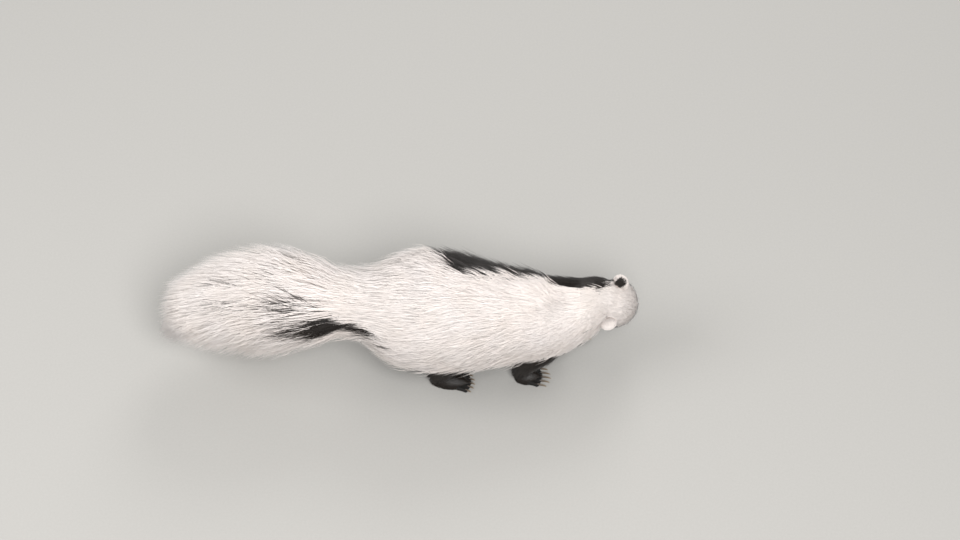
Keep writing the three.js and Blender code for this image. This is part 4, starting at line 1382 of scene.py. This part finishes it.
    def whiskers(self, rng):
        """A few stiff whiskers on each side of the muzzle."""
        parts = []
        t = np.linspace(-0.03, 1, 9)
        for side in (-1, 1):
            for k in range(11):
                at, low = 50 + 3.2 * (k % 4), -5.5 - 1.9 * (k // 4)
                start = np.array([at, side * float(along(SKULL, 1, at)) * 0.97, low])
                way = unit(np.array([-0.15 + 0.2 * rng.random(), side * (0.9 + 0.2 * rng.random()),
                                     -0.25 + 0.3 * rng.random()]))
                long = 19 + 10 * rng.random()
                line = start + way * col(t * long) + np.array([-0.35, 0, -0.12]) * col(t ** 2 * long)
                parts.append(tube(line, 0.17 * (1 - t.clip(0) * 0.85), 5))
        points, faces = gather(parts)
        whiskers = piece("whiskers", from_head(points), faces, "black_guard_hair")
        put(whiskers.data, reach=np.full(len(points), 0.4), tone=np.ones(len(points)))
        settle(whiskers, "black_coat")


class SKUNK_OT_nape_coat(bpy.types.Operator):
    """Grows the fur that runs from behind the ears and the cheeks onto the neck"""

    bl_idname = "skunk.nape_coat"
    bl_label = "Nape's and throat's fur"

    def execute(self, context):
        rng = np.random.default_rng(SEED + 4)
        bvh = skin_bvh(with_ears=False)
        centres, normals, areas = skin_faces()
        behind = to_head(centres)[:, 0] < 6
        keep = (centres[:, 0] > 258) & behind & (centres[:, 2] > 74) & ~near_ears(centres, 11.5)
        centres, normals, areas = centres[keep], normals[keep], areas[keep]
        n = int(1250 * context.scene.skunk_look.density)
        chosen = rng.choice(len(centres), n, replace=False, p=areas / areas.sum())
        root, out = centres[chosen], normals[chosen]
        onto_head = col(smoothstep(root[:, 0], 276, 298))
        way = unit(np.array([-1.0, -0.15, -0.12]) * (1 - onto_head) - HEAD_AXES[0] * onto_head)
        way = unit(way - out * (way * out).sum(1, keepdims=True))
        throat = smoothstep(-to_head(root)[:, 2], -4, 16)
        under_ear = near_ears(root + way * 12, 11) | near_ears(root + way * 24, 10)
        tuft = {
            "long": np.where(under_ear, 8, 27 - 7 * throat),
            "wide": 0.85,
            "drift": 1.4 * rng.standard_normal(n),
            "tip": np.where(under_ear, 3, 7.4 - 2.5 * throat)
            * (0.85 + 0.13 * rng.standard_normal(n)).clip(0.5, 1.1),
            "sunk": 0.7,
            "spread": np.where(under_ear, 2.0, 4.6),
            "across": 1.0,
            "gather": (0.5 + 0.15 * rng.standard_normal(n)).clip(0.1, 0.9),
            "rise": 1.6,
            "hairs": 7,
            "lie": 1,
        }
        white = skin_fields(root)[0] > rng.random(n) * 0.4 + 0.3
        turn = np.arctan2(root[:, 1] - HEAD_AT[1], root[:, 2] - HEAD_AT[2])
        flat = unwrapped(root[:, 0], turn, (255, 325))
        for colour, mask, steps in (("white", white, 4), ("black", ~white, 3)):
            axes = (root, way, np.cross(out, way), out)
            spots = [np.repeat(x[mask], tuft["hairs"], 0)[:, None] for x in axes]
            zero = np.zeros(mask.sum())
            grown = grow_tufts(on_surface(bvh, *spots), zero, zero, pick(tuft, mask) | {"steps": steps}, rng)
            coat_piece(f"coat_nape_{colour}", grown, flat[mask], colour)
        return {"FINISHED"}


class SKUNK_OT_leg_coat(bpy.types.Operator):
    """Grows the black fur of the legs and the short fur of the feet"""

    bl_idname = "skunk.leg_coat"
    bl_label = "Legs' and feet's fur"

    def execute(self, context):
        look = context.scene.skunk_look
        rng = np.random.default_rng(SEED + 3)
        bvh = skin_bvh()
        for leg in LEGS:
            self.leg(leg, bvh, look, rng)
            self.foot(leg, bvh, look, rng)
        return {"FINISHED"}

    @staticmethod
    def off_floor(points):
        return lifted(points, 0.5)

    def leg(self, leg, bvh, look, rng):
        line = LEGS[leg][2]
        length = limb_length(line)
        u_range, v_range = (0.0, length * 0.97), (-math.pi, math.pi)

        def place(u, v, height):
            return limb_place(line, np.minimum(u / length, 1.06), v, height)

        def weight(u, v):
            return limb_frame(line, u / length)[3]

        u, v = spread_roots(int(800 * look.density), u_range, v_range, weight, rng)
        keep = over_skin(place(u, v, np.zeros_like(u))[0], bvh, 2.2)
        u, v = u[keep], v[keep]
        n = len(u)
        t = u / length
        _, _, _, radius, fur = limb_frame(line, t)
        tuft = {
            "long": np.interp(t, [0, 0.35, 0.7, 0.97], [34, 28, 15, 8.5]),
            "wide": np.interp(t, [0, 1], [0.95, 0.65]),
            "drift": 0.05 * rng.standard_normal(n),
            "tip": fur * (1.08 + 0.2 * rng.standard_normal(n)),
            "spread": np.interp(t, [0, 1], [5.0, 2.6]),
            "across": radius.clip(9),
            "sunk": 0.8, "gather": 0.5, "rise": 1.6, "hairs": 7, "steps": 3, "lie": 1, "trim": self.off_floor,
        }
        grown = grow_tufts(place, u, v, tuft, rng)
        coat_piece("fur_" + leg.replace("leg", "_leg"), grown, unwrapped(u, v, u_range), "black")

    def foot(self, leg, bvh, look, rng):
        size, origin, axes, middle, half = foot_form(leg)
        u_range, v_range = (-size["back"] + 1.0, size["front"] - 1.0), (-1.75, 1.75)

        def place(u, v, height):
            ahead, s, c = (u - middle[0]) / half[0], np.sin(v), np.cos(v)
            girth = np.sqrt(np.maximum(1 - ahead ** 2, 0.03))
            out = unit(np.stack([ahead * 0.4, s, c], -1))
            local = np.stack([u, half[1] * girth * s, middle[2] + half[2] * girth * c], -1)
            return (local + out * col(height)) @ axes + origin, out @ axes

        u, v = spread_roots(int(330 * look.density), u_range, v_range, lambda a, b: np.ones_like(a), rng)
        keep = over_skin(place(u, v, np.zeros_like(u))[0], bvh, 1.6)
        u, v = u[keep], v[keep]
        tuft = {
            "long": 7.0, "wide": 0.6, "drift": 0.0, "tip": 1.9, "sunk": 0.4, "spread": 2.0, "across": 12.0,
            "gather": 0.4, "rise": 1.4, "hairs": 6, "steps": 3, "lie": 1, "trim": self.off_floor,
        }
        grown = grow_tufts(place, u, v, tuft, rng)
        coat_piece("fur_" + leg.replace("leg", "_foot"), grown, unwrapped(u, v, u_range, v_range), "black")


class SKUNK_OT_stage(bpy.types.Operator):
    """Sets the pale floor, the soft light and the camera"""

    bl_idname = "skunk.stage"
    bl_label = "Floor, light and camera"

    def execute(self, context):
        stage = context.scene.skunk_stage
        count = FLOOR_CELLS + 1
        rows = np.linspace(-FLOOR_REACH, FLOOR_REACH, count) / MM
        x, y = np.meshgrid(rows, rows)
        points = np.stack([x, y, np.zeros_like(x)], -1).reshape(-1, 3) + MIDDLE
        corners = [i * count + k for i in range(FLOOR_CELLS) for k in range(FLOOR_CELLS)]
        faces = [(corner, corner + 1, corner + count + 1, corner + count) for corner in corners]
        piece("floor", points, faces, "matt_studio_paper")
        self.camera(context, stage)
        for name, place, size, share in LAMPS:
            self.lamp(context, name, place, size, stage.light * share)
        world = bpy.data.worlds.new("soft_room")
        world.use_nodes = True
        background = world.node_tree.nodes["Background"]
        background.inputs["Color"].default_value = (1, 1, 1, 1)
        background.inputs["Strength"].default_value = 0.45
        context.scene.world = world
        context.scene.view_settings.view_transform = "Standard"
        return {"FINISHED"}

    def camera(self, context, stage):
        target = Vector((AIM - MIDDLE) * MM)
        away = Vector((0, -math.cos(stage.elevation), math.sin(stage.elevation)))
        data = bpy.data.cameras.new("camera")
        data.lens = stage.lens
        data.sensor_width = 36
        data.dof.use_dof = False
        camera = bpy.data.objects.new("camera", data)
        camera.location = target + away * stage.distance
        camera.rotation_euler = away.to_track_quat("Z", "Y").to_euler()
        context.scene.collection.objects.link(camera)
        context.scene.camera = camera

    def lamp(self, context, name, place, size, power):
        data = bpy.data.lights.new(name, "AREA")
        data.shape = "DISK"
        data.size = size
        data.energy = power
        lamp = bpy.data.objects.new(name, data)
        lamp.location = place
        lamp.rotation_euler = (Vector(place) - Vector((0, 0, 0.1))).to_track_quat("Z", "Y").to_euler()
        context.scene.collection.objects.link(lamp)


class SKUNK_PT_model(bpy.types.Panel):
    """Lists what makes the model, in order"""

    bl_idname = "SKUNK_PT_model"
    bl_label = "Striped skunk"
    bl_space_type = "VIEW_3D"
    bl_region_type = "UI"
    bl_category = "Skunk"

    def draw(self, context):
        layout = self.layout
        for name in SkunkLook.__annotations__:
            layout.prop(context.scene.skunk_look, name)
        for name in SkunkStage.__annotations__:
            layout.prop(context.scene.skunk_stage, name)
        for kind in OPERATORS:
            layout.operator(kind.bl_idname)


OPERATORS = (
    SKUNK_OT_stage, SKUNK_OT_skin, SKUNK_OT_eyes, SKUNK_OT_nose, SKUNK_OT_claws, SKUNK_OT_trunk_coat,
    SKUNK_OT_tail_coat, SKUNK_OT_head_coat, SKUNK_OT_nape_coat, SKUNK_OT_leg_coat,
)
CLASSES = (SkunkLook, SkunkStage) + OPERATORS + (SKUNK_PT_model,)


def register():
    for kind in CLASSES:
        bpy.utils.register_class(kind)
    bpy.types.Scene.skunk_look = bpy.props.PointerProperty(type=SkunkLook)
    bpy.types.Scene.skunk_stage = bpy.props.PointerProperty(type=SkunkStage)


def unregister():
    del bpy.types.Scene.skunk_stage
    del bpy.types.Scene.skunk_look
    for kind in reversed(CLASSES):
        bpy.utils.unregister_class(kind)


def main():
    register()
    for kind in OPERATORS:
        family, name = kind.bl_idname.split(".")
        getattr(getattr(bpy.ops, family), name)()


if __name__ == "__main__":
    main()
